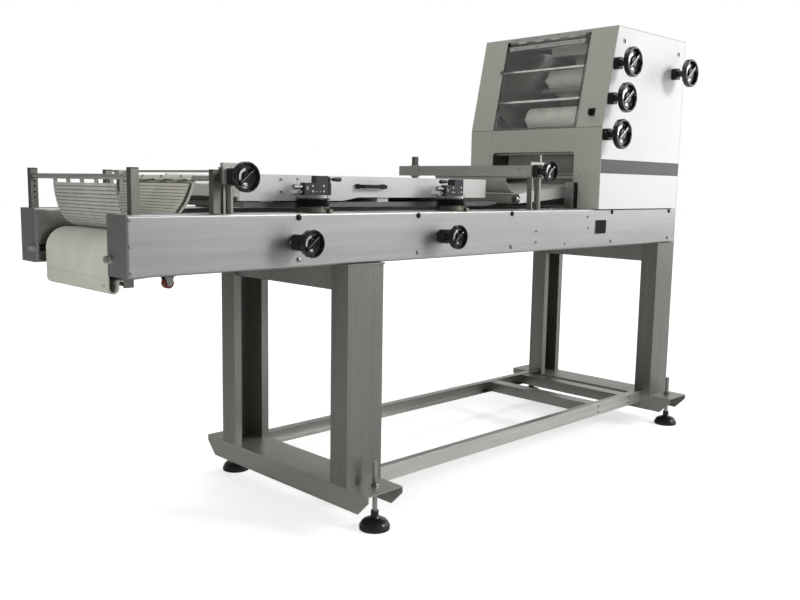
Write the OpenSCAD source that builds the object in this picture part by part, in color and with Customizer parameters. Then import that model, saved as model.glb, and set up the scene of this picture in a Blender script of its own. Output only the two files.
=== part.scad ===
// Baguette moulder: a sheeting head that rolls dough flat, and a long belt table with a curling mat,
// an adjustable pressure board and an outfeed sling. +X runs from the outfeed end to the head,
// the working side faces -Y, +Z is up. The origin lies on the floor below the middle of the machine.

/* [Side beams] */
// Length of the two side beams
beam_l = 2780; // [2700:5:2900]
// Height of a side beam
beam_h = 160; // [155:1:170]
// Thickness of a side beam
beam_t = 110; // [100:1:118]
// Clear width between the side beams
inner_w = 452; // [446:1:462]
// Height of the beams' top above the floor
work_h = 1015; // [950:5:1080]
// Sheet thickness of the beams
beam_wall = 3; // [2:0.5:4]
// Outer rounding of the beams' folds
beam_r = 7; // [5:0.5:10]
// Thickness of the cross plate that closes the head end
end_t = 4; // [3:0.5:6]

/* [Base and legs] */
// Width of a leg across the webs
leg_w = 150; // [130:1:160]
// Depth of a leg
leg_d = 80; // [70:1:90]
// Width of the lips along a leg's open side
leg_lip = 30; // [20:1:36]
// Sheet thickness of the legs, rails and cross members
leg_wall = 3; // [2:0.5:4]
// How far the legs stand proud of the beams' outer faces
leg_proud = 15; // [8:1:20]
// Distance from the outfeed end to the left legs
leg_left = 720; // [680:1:760]
// Distance from the outfeed end to the right legs
leg_right = 2604; // [2560:1:2620]
// Height of the upper cross members
cross_h = 87; // [70:1:100]
// Width of the upper cross members
cross_w = 120; // [110:1:130]
// Width of a base channel
base_w = 152; // [140:1:164]
// Height of the base channels' top
base_top = 141; // [135:1:160]
// Height of a base channel's side walls
base_h = 70; // [60:1:74]
// How far a base channel reaches past the legs
base_over = 103; // [98:1:115]
// Sheet thickness of the base channels
base_wall = 4; // [3:0.5:5]
// Height of the lower rails
rail_h = 53; // [45:1:60]
// Depth of the lower rails
rail_d = 30; // [24:1:36]
// How far the lower rails lie inside the legs' outer faces
rail_in = 39; // [30:1:48]
// Height of the lower rails' underside above the floor
rail_z = 105; // [96:1:112]
// Distances from the outfeed end to the two lower ties
tie_at = [2232, 2484];
// Width of the lower ties
tie_w = 60; // [40:1:70]

/* [Levelling feet] */
// Diameter of a foot pad
pad_d = 100; // [80:1:110]
// Height of a foot pad with its neck
pad_h = 60; // [50:1:62]
// Diameter of the threaded studs
stud_d = 16; // [14:1:20]
// Height of the studs' tops above the base channels
stud_up = 81; // [60:1:100]
// Distance from a base channel's end to the stud
foot_in = 60; // [60:1:76]
// How far the studs stand off the legs' middle, towards the head
stud_shift = 10; // [0:1:12]

/* [Conveyor] */
// Depth of the belt's top below the beams' top
belt_drop = 53; // [45:1:60]
// Width of the conveyor belt
belt_w = 392; // [360:1:400]
// Thickness of the conveyor belt
belt_t = 3; // [2:0.5:4]
// Radius of the nose roller
nose_r = 60; // [52:1:62]
// Distance from the outfeed end to the nose roller
nose_at = 81; // [80:1:90]
// Radius of the drive roller
drive_r = 42; // [36:1:44]
// Distance from the outfeed end to the drive roller
drive_at = 2600; // [2540:1:2620]
// Depth of the slack loop's turn below the nose roller's axis
slack = 82; // [78:1:100]
// Diameter of the rollers' shaft ends
shaft_d = 20; // [16:1:22]
// Height of the slots that guide the nose roller's shaft
slot_h = 21; // [20.5:0.5:24]
// Length of those slots
slot_l = 110; // [100:1:125]
// Diameter of the guide castor's wheel
castor_d = 29; // [24:1:32]
// Distance from the outfeed end to the guide castor
castor_at = 132; // [120:1:200]

/* [Outfeed sling] */
// Side of the square sling posts
post_s = 22; // [20:1:25]
// Height of the sling posts
post_h = 116; // [110:1:130]
// Distances from the outfeed end to the two pairs of sling posts
post_at = [36, 275];
// Distance of posts and columns from the centre line
post_y = 307; // [300:1:310]
// Diameter of the sling bars
bar_d = 15; // [12:1:16]
// Height of the sling bars above the beams
bar_up = 95; // [88:1:100]
// Spacing of the spare holes in the sling posts
hole_step = 16; // [16:0.5:18]
// Width of the sling mat
mat_w = 390; // [380:1:400]
// Thickness of the mats between their ribs
mat_t = 2; // [1.5:0.5:3]
// Height of the mats' ribs
rib_h = 1.8; // [1:0.1:2.4]
// Spacing of the mats' ribs
rib_step = 10; // [9:0.5:14]
// Drop from the outer bar's axis to the edge of the sheet that hangs on its hooks
hang = 18; // [14:1:22]
// Spacing of the hooks on the outer bar
hook_step = 88; // [80:1:90]
// Spacing of the eyelet hooks on the inner bar
eyelet_step = 110; // [104:1:112]
// How much further out the rear sling posts stand than the front ones
rear_shift = 12; // [0:1:14]

/* [Crossbars] */
// Distance from the outfeed end to the near crossbar's guide rod
near_at = 320; // [318:1:330]
// Distance from the outfeed end to the far crossbar's guide rod
far_at = 1730; // [1722:1:1740]
// Diameter of the guide rods
guide_d = 25; // [20:1:28]
// Width of the racks
rack_w = 7; // [5:1:10]
// Depth of the racks
rack_d = 24; // [18:1:26]
// Distance from the near guide rod to its rack
near_rack = 22; // [20:1:26]
// Distance from the far guide rod to its rack
far_rack = 50; // [46:1:54]
// Side of the square rear posts
rear_s = 20; // [18:1:24]
// Height of the near guide rod above the beams
near_h = 134; // [132:1:150]
// Height of the far guide rod above the beams
far_h = 208; // [204:1:230]
// Height of the near slider's underside above the beams
near_up = 80; // [76:1:84]
// Height of the far slider's underside above the beams
far_up = 123; // [118:1:128]
// Height of the sliders
slider_h = 58; // [50:1:60]
// Thickness of the sliders' front plates
slider_t = 6; // [5:1:8]
// Height of the far crossbar
far_bar_h = 41; // [34:1:46]
// Thickness of the far crossbar
far_bar_t = 15; // [10:1:18]
// How far the far crossbar reaches past its rear post
far_over = 83; // [60:1:90]
// How far the near crossbar reaches past its rear post
near_over = 133; // [60:1:140]
// Height of the near crossbar
near_bar_h = 7; // [6:1:12]
// Width of the near crossbar
near_bar_t = 12; // [10:1:16]
// Travel of the sliders
slide_run = 20; // [10:1:22]

/* [Pressure board] */
// Distance from the outfeed end to the pressure board
board_at = 420; // [410:1:450]
// Length of the pressure board
board_l = 1110; // [1080:1:1150]
// Height of the board's side panels
board_h = 79; // [74:1:84]
// Thickness of the board's side panels
board_t = 12; // [8:1:14]
// Half width of the board over its side panels
board_y = 212; // [208:1:216]
// Height of the side panels' lower edge above the beams
board_up = 32; // [30:1:36]
// Height of the step in the side panels' lower edge
step_h = 11; // [8:1:14]
// Distance from the board's end to that step
step_at = 397; // [380:1:420]
// Thickness of the pressing plate under the board
press_t = 16; // [12:1:18]
// How far the pressing plate reaches past the board's head end
press_over = 82; // [70:1:90]
// Distances from the outfeed end to the two pairs of lifting units
unit_at = [634, 1257];
// Diameter of a lifting unit's base
unit_d = 105; // [100:1:108]
// Height of a lifting unit's base
unit_h = 10; // [8:1:12]
// Height of the bellows
bellows_h = 32; // [30:1:34]
// Diameter of the lifting spindles
spindle_d = 30; // [24:1:32]
// Travel of the board below its place in the photograph
lift_down = 24; // [16:1:24]
// Travel of the board above its place in the photograph
lift_up = 12; // [6:1:16]

/* [Handwheels] */
// Diameter of the head's handwheels
big_d = 120; // [112:1:124]
// Diameter of the table's handwheels
small_d = 82; // [76:1:86]
// Diameter of a handwheel's shaft
wheel_shaft = 12; // [10:1:14]
// Depth of the head's handwheels
big_t = 24; // [20:1:26]
// Depth of the table's handwheels
small_t = 18; // [15:1:20]
// Length of the neck behind the head's handwheels
big_neck = 42; // [36:1:48]
// Length of the neck behind the table's handwheels
small_neck = 36; // [30:1:40]
// Width of an indicator housing
ind_w = 32; // [30:1:38]
// Height of an indicator housing
ind_h = 48; // [44:1:52]
// Depth of an indicator housing
ind_d = 28; // [24:1:32]
// Distances from the outfeed end to the lifting handwheels
lift_wheel_at = [532, 1159];
// Depth of the lifting handwheels below the beams' top
lift_wheel_drop = 85; // [76:1:92]
// Places of the head's handwheels: distance from the outfeed end, height above the beams
head_wheels = [[2170, 597], [2139, 453], [2114, 306], [2652, 600]];

/* [Head] */
// Distance from the outfeed end to the head's front
head_at = 2094; // [2080:1:2100]
// Length of the head
head_l = 658; // [640:1:670]
// Half width of the head
head_y = 352; // [346:1:358]
// Height of the head above the beams
head_h = 753; // [740:1:770]
// Height of the front's fold above the beams
fold_up = 338; // [330:1:346]
// How far the front leans back from the fold to the top
lean = 91; // [80:1:100]
// Sheet thickness of the head's casing
skin = 3; // [2:0.5:4]
// Half width of the window opening
win_y = 224; // [220:1:226]
// Height of the strip above the window
win_top = 15; // [12:1:20]
// Half width of the outlet
out_y = 221; // [218:1:224]
// Height of the outlet above the beams
out_h = 238; // [232:1:246]
// Rounding of the outlet's upper corners
out_r = 15; // [10:1:20]
// Height of the wider foot of the outlet
foot_up = 109; // [104:1:114]
// Half width of the wider foot of the outlet
foot_y = 246; // [242:1:250]
// Thickness of the window pane
pane_t = 5; // [4:0.5:6]
// Gap on either side of the pane
pane_gap = 11; // [8:1:14]
// Half width to the inner plates' inner faces
cheek_y = 230; // [228:1:234]
// Thickness of the inner plates
cheek_t = 6; // [5:1:8]
// Infeed opening in the head's top: distance from the head's front and length
feed_at = [400, 130];
feed_lip = 48;
// Half width of the infeed opening
feed_y = 190; // [180:1:200]

/* [Sheeting rollers] */
// Radius of the upper sheeting rollers
up_r = 45; // [42:1:47]
// Radius of the lower sheeting rollers
low_r = 50; // [46:1:52]
// Half length of the sheeting rollers
roll_y = 195; // [180:1:200]
// Diameter of the sheeting rollers' shafts
roll_shaft = 25; // [20:1:28]
// Gap between the upper rollers
up_gap = 12; // [10:1:16]
// Gap between the lower rollers
low_gap = 5; // [4:1:8]
// Upper front roller: distance from the head's front, height above the beams
up_place = [406, 597];
// Lower front roller: distance from the head's front, height above the beams
low_place = [256, 403];

/* [Discharge conveyor] */
// Distance from the outfeed end to the discharge nose roller
dis_at = 1736; // [1732:1:1744]
// Height of that roller's axis above the beams
dis_up = 38; // [34:1:42]
// Radius of the discharge rollers
dis_r = 17; // [14:1:19]
// Distance between the discharge rollers
dis_l = 690; // [660:1:700]
// Rise of the discharge conveyor in degrees
dis_rise = 6; // [5:0.5:7]
// Half width of the discharge belt
dis_y = 190; // [180:1:194]
// Half width to the discharge side plates' inner faces
dis_plate_y = 200; // [198:1:203]
// Thickness of the discharge side plates
dis_plate_t = 3; // [2:0.5:4]

/* [Hidden] */
$fn = 48;

// Clearances: a turning shaft in its bore, a soft sheet off what carries it, a slider on its post
run = 0.05;
seat = 0.3;
slide_gap = 0.4;

// Tension bolt heads reach out at the outfeed end and set the box's middle
bolt_out = 14;
x0 = -(beam_l + end_t - bolt_out) / 2;
y_in = inner_w / 2;
y_out = y_in + beam_t;
y_mid = y_in + beam_t / 2;
beam_z = work_h - beam_h;
leg_y = y_out + leg_proud;
leg_yi = leg_y - leg_d;
base_y = leg_y + base_over;
stud_y = base_y - foot_in;
leg_x = [x0 + leg_left + leg_w / 2, x0 + leg_right + leg_w / 2];
stud_x = [for (x = leg_x) x + stud_shift];
top_plate = 5;
nut_h = 12;
nut_d = 27.7;

// Conveyor levels: the belt's top, its underside, the bed, and both axes
belt_z = work_h - belt_drop;
bed_z = belt_z - belt_t;
nose_z = bed_z - seat - nose_r;
nose_x = x0 + nose_at;
drive_z = bed_z - seat - drive_r;
drive_x = x0 + drive_at;
return_z = drive_z - drive_r - seat;
skid_x = x0 + 400;
skid_d = 18;
guide_r = 6;
guide_x = nose_x - 26;
guide_z = nose_z - nose_r - belt_t - seat - 2 - guide_r;
axle_out = 22;
tension_d = 12;
tension_y = 18;
lift_wheel_z = work_h - lift_wheel_drop;
castor_y = y_out - 36;
castor_z = beam_z - castor_d / 2 - 6.5;

// Head in its own corner points
hx = x0 + head_at;
hx1 = hx + head_l;
fold_z = work_h + fold_up;
top_z = work_h + head_h;
lean_a = atan(lean / (head_h - fold_up));
face_l = sqrt(pow(lean, 2) + pow(head_h - fold_up, 2));
win_l = face_l - win_top;

// The window turns about a pin at its upper edge
pin_out = 2;
pin_in = 11;
win_pin = [hx + lean - (pin_out * (head_h - fold_up) + (win_top + pin_in) * lean) / face_l, 0,
    top_z + (pin_out * lean - (win_top + pin_in) * (head_h - fold_up)) / face_l];

// Handwheel planes and rollers in pairs, the rear one lower than the front one
pair_dip = 28;
up_x = hx + up_place[0];
up_z = work_h + up_place[1];
low_x = hx + low_place[0];
low_z = work_h + low_place[1];
up_span = 2 * up_r + up_gap;
low_span = 2 * low_r + low_gap;

// Discharge conveyor ends
dis_x = x0 + dis_at;
dis_z = work_h + dis_up;
dis_t = 2;

// Colours of the finishes
steel = [0.70, 0.70, 0.69];
taupe = [0.60, 0.58, 0.53];
white = [0.93, 0.93, 0.92];
black = [0.07, 0.07, 0.07];
cream = [0.80, 0.78, 0.70];
dark = [0.25, 0.26, 0.27];

// Helpers
module slab(x, y, z) translate([x[0], y[0], z[0]]) cube([x[1] - x[0], y[1] - y[0], z[1] - z[0]]);
module rod_y(d, x, z, y) translate([x, y[0], z]) rotate([-90, 0, 0]) cylinder(d = d, h = y[1] - y[0]);
module rod_x(d, y, z, x) translate([x[0], y, z]) rotate([0, 90, 0]) cylinder(d = d, h = x[1] - x[0]);
module post_z(d, x, y, z) translate([x, y, z[0]]) cylinder(d = d, h = z[1] - z[0]);
module along_y(y) translate([0, y[1], 0]) rotate([90, 0, 0]) linear_extrude(y[1] - y[0]) children();
module along_x(x) translate([x[0], 0, 0]) rotate([90, 0, 90]) linear_extrude(x[1] - x[0]) children();
module both_sides() {
    children();
    mirror([0, 1, 0]) children();
}
module rounded(w, h, r) {
    translate([r, 0]) square([w - 2 * r, h]);
    translate([0, r]) square([w, h - 2 * r]);
    for (x = [r, w - r], y = [r, h - r]) translate([x, y]) circle(r);
}
module hex_nut(x, y, z, h, bore) difference() {
    translate([x, y, z]) cylinder(d = nut_d, h = h, $fn = 6);
    post_z(bore, x, y, [z - 1, z + h + 1]);
}
// The leaning face: local z climbs the face from the fold, local -x points out of it
module on_face() translate([hx, 0, fold_z]) rotate([0, lean_a, 0]) children();
// The discharge conveyor: local x runs up the conveyor from the nose roller's axis
module on_discharge() translate([dis_x, 0, dis_z]) rotate([0, -dis_rise, 0]) children();

// Frame
module base_channel(x) difference() {
    intersection() {
        translate([0, base_y, 0]) rotate([90, 0, 0]) linear_extrude(2 * base_y) difference() {
            translate([x - base_w / 2, base_top - base_h]) square([base_w, base_h]);
            translate([x - base_w / 2 + base_wall, base_top - base_h - 1])
                square([base_w - 2 * base_wall, base_h - base_wall + 1]);
        }
        along_x([x - base_w, x + base_w]) polygon([[-base_y, base_top], [base_y, base_top],
            [base_y, base_top - 22], [base_y - 48, base_top - base_h],
            [48 - base_y, base_top - base_h], [-base_y, base_top - 22]]);
    }
    for (s = [-1, 1]) post_z(stud_d + 1, x + stud_shift, s * stud_y,
        [base_top - 2 * base_wall, base_top + 1]);
}
module base_channels() color(steel) for (x = leg_x) base_channel(x);

module leg(x, s) mirror([0, s > 0 ? 0 : 1, 0]) {
    translate([x, 0, base_top]) linear_extrude(beam_z - top_plate - base_top) difference() {
        translate([-leg_w / 2, leg_yi]) square([leg_w, leg_d]);
        translate([leg_wall - leg_w / 2, leg_yi + leg_wall])
            square([leg_w - 2 * leg_wall, leg_d - 2 * leg_wall]);
        translate([leg_lip - leg_w / 2, leg_yi - 1]) square([leg_w - 2 * leg_lip, leg_wall + 2]);
    }
    slab([x - leg_w / 2 - 3, x + leg_w / 2 + 3], [leg_yi, leg_y + 3], [beam_z - top_plate, beam_z]);
}
module legs_left() color(steel) for (s = [-1, 1]) leg(leg_x[0], s);
module legs_right() color(steel) for (s = [-1, 1]) leg(leg_x[1], s);

module channel_rail(s) mirror([0, s > 0 ? 0 : 1, 0])
    along_x([leg_x[0] + base_w / 2, leg_x[1] - base_w / 2]) difference() {
        translate([leg_y - rail_in - rail_d, rail_z]) square([rail_d, rail_h]);
        translate([leg_y - rail_in - rail_d - 1, rail_z + leg_wall])
            square([rail_d - leg_wall + 1, rail_h - 2 * leg_wall]);
    }
module frame_rails() color(steel) {
    for (s = [-1, 1]) channel_rail(s);
    tie_y = leg_y - rail_in - leg_wall;
    for (t = tie_at) along_y([-tie_y, tie_y]) difference() {
        translate([x0 + t - tie_w / 2, rail_z + 4]) square([tie_w, rail_h - 8]);
        translate([x0 + t - tie_w / 2 + leg_wall, rail_z + 3])
            square([tie_w - 2 * leg_wall, rail_h - 7 - leg_wall]);
    }
    for (x = leg_x) along_y([-leg_yi, leg_yi]) difference() {
        translate([x - cross_w / 2, beam_z - cross_h]) square([cross_w, cross_h]);
        translate([x - cross_w / 2 + leg_wall, beam_z - cross_h + leg_wall])
            square([cross_w - 2 * leg_wall, cross_h - 2 * leg_wall]);
    }
    slab([x0 + beam_l, x0 + beam_l + end_t], [-y_out, y_out], [beam_z, work_h]);
}

module foot(i, s) translate([stud_x[i], s * stud_y, 0]) {
    rotate_extrude() polygon(concat([[0, 0], [pad_d / 2, 0], [pad_d / 2, 12]],
        [for (a = [0:15:75]) [19 + (pad_d / 2 - 22) * cos(a), 14 + 20 * sin(a)]],
        [[17, 36], [13, 42], [13, pad_h], [0, pad_h]]));
    cylinder(d = stud_d, h = base_top + stud_up);
}
module foot_front_left() color(black) foot(0, -1);
module foot_rear_left() color(black) foot(0, 1);
module foot_front_right() color(black) foot(1, -1);
module foot_rear_right() color(black) foot(1, 1);

// Table
module beam(s) mirror([0, s > 0 ? 0 : 1, 0]) difference() {
    intersection() {
        along_x([x0, x0 + beam_l]) translate([y_in, beam_z]) rounded(beam_t, beam_h, beam_r);
        translate([0, 0, beam_z - 1]) linear_extrude(beam_h + 2) union() {
            translate([x0, y_in]) rounded(beam_l / 2, beam_t, beam_r);
            translate([x0 + beam_l / 4, y_in]) square([beam_l * 3 / 4, beam_t]);
        }
    }
    along_x([x0 + beam_wall, x0 + beam_l + 1]) translate([y_in + beam_wall, beam_z + beam_wall])
        square([beam_t - 2 * beam_wall, beam_h - 2 * beam_wall]);
    slab([x0 + 12, x0 + 12 + slot_l], [y_in - 1, y_in + beam_wall + 1],
        [nose_z - slot_h / 2, nose_z + slot_h / 2]);
    rod_y(shaft_d + 2 * run, drive_x, drive_z, [y_in - 1, y_in + beam_wall + 1]);
    for (u = unit_at) post_z(spindle_d + 2, x0 + u, y_mid, [work_h - beam_wall - 1, work_h + 1]);
    rod_x(tension_d, y_in + tension_y, nose_z, [x0 - 1, x0 + beam_wall + 1]);
    if (s < 0) for (u = lift_wheel_at)
        rod_y(wheel_shaft + 1, x0 + u, lift_wheel_z, [y_out - beam_wall - 1, y_out + 1]);
}
module beam_front() color(steel) beam(-1);
module beam_rear() color(steel) beam(1);

// Guide rod behind the slack loop, in two brackets on the beams' inner faces
module guide_rod() {
    rod_y(2 * guide_r, guide_x, guide_z, [-y_in + seat + 2, y_in - seat - 2]);
    both_sides() slab([guide_x - 9, guide_x + 20], [y_in - seat - 3, y_in - seat],
        [guide_z - 9, guide_z + 52]);
}
module slider_bed() color(steel) {
    guide_rod();
    bed_x = [nose_x + nose_r + 8, drive_x - drive_r - 8];
    flange = 42;
    along_x(bed_x) difference() {
        translate([seat - y_in, bed_z - flange]) square([inner_w - 2 * seat, flange]);
        translate([seat + 2 - y_in, bed_z - flange - 1]) square([inner_w - 2 * seat - 4, flange - 1]);
    }
    // The belt leaves the first skid downwards, so that skid lies a little lower
    for (k = [0, 1]) {
        x = k == 0 ? skid_x : (skid_x + drive_x) / 2;
        low = return_z - belt_t - seat - skid_d / 2 - (k == 0 ? 2 : 1) * seat;
        rod_y(skid_d, x, low, [-y_in + seat + 2, y_in - seat - 2]);
        for (s = [-1, 1]) slab([x - 8, x + 8], [s * (y_in - seat - 2) - 2, s * (y_in - seat - 2) + 2],
            [return_z - belt_t - seat - skid_d, bed_z - flange + 1]);
    }
}

module drum(r, x, z, ends) {
    rod_y(2 * r, x, z, [-belt_w / 2 - 6, belt_w / 2 + 6]);
    rod_y(shaft_d, x, z, [-ends, ends]);
}
module nose_roller() color(steel) drum(nose_r, nose_x, nose_z, y_in + beam_wall + axle_out);
module drive_roller() color(steel) drum(drive_r, drive_x, drive_z, y_in + beam_wall + axle_out);

// The belt's rims: top run, round the nose, down the slack loop, over the guide rod, back on the skids
function arc(c, r, a0, a1, n) = [for (i = [0:n]) let (a = a0 + (a1 - a0) * i / n)
    [c[0] + r * cos(a), c[1] + r * sin(a)]];
slack_r = (guide_x - guide_r - belt_t - nose_x + nose_r - 2 * seat) / 2;
slack_x = nose_x - nose_r + slack_r;
function loop_line(off) = concat(
    arc([drive_x, drive_z], drive_r + off, -90, 90, 16),
    arc([nose_x, nose_z], nose_r + off, 90, 180, 12),
    [[nose_x - nose_r - off, nose_z - slack / 2]],
    arc([slack_x, nose_z - slack], slack_r + off, 180, 360, 12),
    arc([guide_x, guide_z], guide_r + 2 * seat + belt_t - off, 180, 96, 6),
    [for (t = [0.15:0.17:1]) let (a = guide_x + 4, h = guide_z + guide_r + 2 * seat + belt_t)
        [a + (skid_x - a) * t, h + (return_z - h) * pow(t, 1.4) - off]]);
module conveyor_belt() color(cream) along_y([-belt_w / 2, belt_w / 2])
    difference() { polygon(loop_line(seat + belt_t)); polygon(loop_line(seat)); }

// Screws and bolts: beam face bolts, end screws, stud nuts, tension bolts and rail bolts
bolt_at = [540, 1040, 1540, 2226, 2715];
bolt_d = 15;
cap_d = 19;
module dome(d, h) rotate_extrude() polygon([[0, 0], [d / 2, 0], [d / 2, h * 0.4], [d * 0.36, h * 0.85],
    [d * 0.2, h], [0, h]]);
module fasteners() color(dark) {
    both_sides() for (b = bolt_at) {
        translate([x0 + b, y_out, work_h - 13]) rotate([-90, 0, 0]) dome(cap_d, 4);
        translate([x0 + b, y_out, beam_z + 23]) rotate([-90, 0, 0]) dome(bolt_d, 5);
    }
    both_sides() for (z = [work_h - 14, work_h - 81, work_h - 147]) {
        translate([x0 + 9, y_out, z]) rotate([-90, 0, 0]) dome(9, 2);
        translate([x0 + 9, y_in, z]) rotate([90, 0, 0]) dome(9, 2);
    }
    for (x = stud_x, s = [-1, 1]) {
        hex_nut(x, s * stud_y, base_top, nut_h, stud_d + 2 * run);
        hex_nut(x, s * stud_y, base_top - base_wall - 8, 8, stud_d + 2 * run);
    }
    both_sides() {
        translate([x0 - bolt_out, y_in + tension_y, nose_z]) rotate([0, 90, 0])
            cylinder(d = 19, h = 10, $fn = 6);
        rod_x(tension_d - 0.4, y_in + tension_y, nose_z, [x0 - bolt_out + 9, nose_x - 15]);
        translate([x0 - 4, y_in + tension_y, nose_z]) rotate([0, 90, 0]) difference() {
            cylinder(d = 24, h = 4);
            translate([0, 0, -1]) cylinder(d = tension_d - 1, h = 6);
        }
        difference() {
            slab([nose_x - 16, nose_x + 16], [y_in + beam_wall, y_in + beam_wall + axle_out],
                [nose_z - 15, nose_z + 15]);
            rod_y(shaft_d + 2 * run, nose_x, nose_z, [y_in, y_in + beam_wall + axle_out + 1]);
        }
    }
    both_sides() for (t = tie_at, z = [rail_z + 14, rail_z + rail_h - 14])
        translate([x0 + t, leg_y - rail_in, z]) rotate([-90, 0, 0]) dome(11, 4);
}

module castor_bracket() color(steel) {
    slab([x0 + castor_at - 16, x0 + castor_at + 16], [-castor_y - 17, -castor_y + 17],
        [beam_z - 3, beam_z]);
    for (s = [-1, 1]) difference() {
        translate([0, s * 11 - castor_y, 0]) rotate([90, 0, 0]) translate([0, 0, -1.25])
            linear_extrude(2.5) polygon([[x0 + castor_at - 13, beam_z - 2], [x0 + castor_at + 13,
            beam_z - 2], [x0 + castor_at + 6, castor_z - 7], [x0 + castor_at - 6, castor_z - 7]]);
        rod_y(6, x0 + castor_at, castor_z, [-castor_y + s * 11 - 3, -castor_y + s * 11 + 3]);
    }
    rod_y(6, x0 + castor_at, castor_z, [-castor_y - 14, -castor_y + 14]);
}
module castor_wheel() color([0.45, 0.13, 0.11]) difference() {
    rod_y(castor_d, x0 + castor_at, castor_z, [-castor_y - 8, -castor_y + 8]);
    rod_y(6 + 2 * run, x0 + castor_at, castor_z, [-castor_y - 9, -castor_y + 9]);
}

// Outfeed sling
bar_z = work_h + bar_up;
module sling_post(x, y) {
    difference() {
        translate([x - post_s / 2, y - post_s / 2, work_h]) cube([post_s, post_s, post_h]);
        translate([x - post_s / 2 + 2, y - post_s / 2 + 2, work_h + 4])
            cube([post_s - 4, post_s - 4, post_h]);
        rod_y(bar_d + 2 * run, x, bar_z, [y - post_s, y]);
        for (k = [1:4]) rod_y(6, x, bar_z - hole_step * k, [y - post_s, y]);
    }
    translate([x - post_s / 2, y - post_s / 2, work_h + post_h]) cube([post_s, post_s, 3]);
}
module sling_posts() color(steel) for (p = post_at) {
    sling_post(x0 + p, post_y + rear_shift);
    mirror([0, 1, 0]) sling_post(x0 + p, post_y);
}
module sling_hook(p, y, side) translate([x0 + p, y + 1.5, bar_z]) rotate([90, 0, 0])
    linear_extrude(3) polygon(side);
module sling_bars() color(steel) {
    for (p = post_at) rod_y(bar_d, x0 + p, bar_z, [-post_y, post_y + rear_shift]);
    for (k = [-2:2]) sling_hook(post_at[0], k * hook_step,
        [[2, -4], [6, -1], [14, -9], [14, 0.7 - hang], [3, 0.7 - hang]]);
    for (k = [-1.5:1.5]) sling_hook(post_at[1], (k + 0.17) * eyelet_step,
        [[-4, -5.2], [-4, -6], [-6, -8.2], [-27, -8.2], [-27, -5.2]]);
}

// A hanging sheet is a chain of points from bar to bar; ribs rise from its inner side
function bezier(a, b, c, d, t) = pow(1 - t, 3) * a + 3 * pow(1 - t, 2) * t * b
    + 3 * (1 - t) * pow(t, 2) * c + pow(t, 3) * d;
function rim(pts, off) = [for (i = [0:len(pts) - 1]) let (a = pts[max(i - 1, 0)],
    b = pts[min(i + 1, len(pts) - 1)], d = b - a, l = norm(d)) pts[i] + off * [-d[1], d[0]] / l];
function ribbed(pts, off, h) = [for (i = [0:len(pts) - 1]) let (a = pts[max(i - 1, 0)],
    b = pts[min(i + 1, len(pts) - 1)], d = b - a, l = norm(d))
    pts[i] + (off + (i % 2 == 0 ? h : 0)) * [-d[1], d[0]] / l];
sling_a = [x0 + post_at[0] + bar_d / 2 + seat, bar_z - hang];
sling_b = [x0 + post_at[1] + bar_d / 2 + seat, bar_z];
sheet_t = 1.4;
sling_low = belt_z + seat + sheet_t;
mat_steps = 2 * round(370 / rib_step);
flat_end = [sling_b[0] - 146, sling_low];
mat_end = sling_b + [-29, -10];
function sling_point(t) = let (a = sling_a, low = sling_low, c = flat_end)
    t < 0.44 ? bezier(a, a + [6, -80], [a[0] + 30, low], [a[0] + 78, low], t / 0.44)
    : t < 0.48 ? [a[0] + 78, low] + [c[0] - a[0] - 78, 0] * (t - 0.44) / 0.04
    : bezier(c, c + [45, 0], c + [98, 63], mat_end, (t - 0.48) / 0.52);
mat_line = [for (i = [0:mat_steps]) sling_point(i / mat_steps)];
// The backing hangs a little behind the mat and ends in a flap that wraps over the inner bar
wrap = arc([x0 + post_at[1], bar_z], bar_d / 2 + seat, -60, 180, 12);
canvas_line = concat([for (t = [0:0.08:0.97]) bezier(flat_end, flat_end + [53, 0],
    flat_end + [128, 71], sling_b - [6.8, 10], t)], wrap,
    [[x0 + post_at[1] - bar_d / 2 - seat, bar_z - 4]]);
module sling_canvas() color(cream) along_y([-mat_w / 2 - 10, mat_w / 2 + 10])
    polygon(concat(rim(canvas_line, 0), [for (p = [1:len(canvas_line)])
        rim(canvas_line, -sheet_t)[len(canvas_line) - p]]));
module sling_mat() color(cream) along_y([-mat_w / 2, mat_w / 2])
    polygon(concat(ribbed(mat_line, seat + rib_h, -rib_h), [for (p = [1:len(mat_line)])
        ribbed(mat_line, seat + rib_h + mat_t, rib_h)[len(mat_line) - p]]));

// Crossbars: a guide rod and a rack in front, a square post at the rear, and a slider between them
near_x = x0 + near_at;
far_x = x0 + far_at;
near_z = work_h + near_up;
far_z = work_h + far_up;
plate_y = post_y + guide_d / 2 + 1.5;
ind_y = plate_y + slider_t;
near_ax = near_x - 6;
far_ax = far_x - 50;
near_az = near_z + slider_h / 2 - 9;
far_az = far_z + slider_h / 2 - 5;
rear_y = post_y + rear_shift;
near_bar = [near_x + guide_d / 2 + 4.5, near_x + guide_d / 2 + 4.5 + near_bar_t];
far_bar = [far_x - far_rack - rack_w / 2 - 1.5 - far_bar_t, far_x - far_rack - rack_w / 2 - 1.5];
near_bar_z = near_z + slider_h - near_bar_h - 19;
far_bar_z = far_z + 4;
near_rear = near_x;
far_rear = far_bar[1] + 1.5 + rear_s / 2;
module rack(x, h) difference() {
    slab([x - rack_w / 2, x + rack_w / 2], [-post_y - rack_d / 2, rack_d / 2 - post_y],
        [work_h, work_h + h]);
    for (z = [10:6:h - 6]) slab([x - rack_w, x + rack_w], [rack_d / 2 - post_y - 2.5, rack_d - post_y],
        [work_h + z, work_h + z + 3]);
}
module rear_post(x, h) difference() {
    slab([x - rear_s / 2, x + rear_s / 2], [rear_y - rear_s / 2, rear_y + rear_s / 2],
        [work_h, work_h + h]);
    for (z = [h - 76:16:h - 10]) rod_x(6, rear_y - 4, work_h + z, [x - rear_s, x + rear_s]);
}
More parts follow.
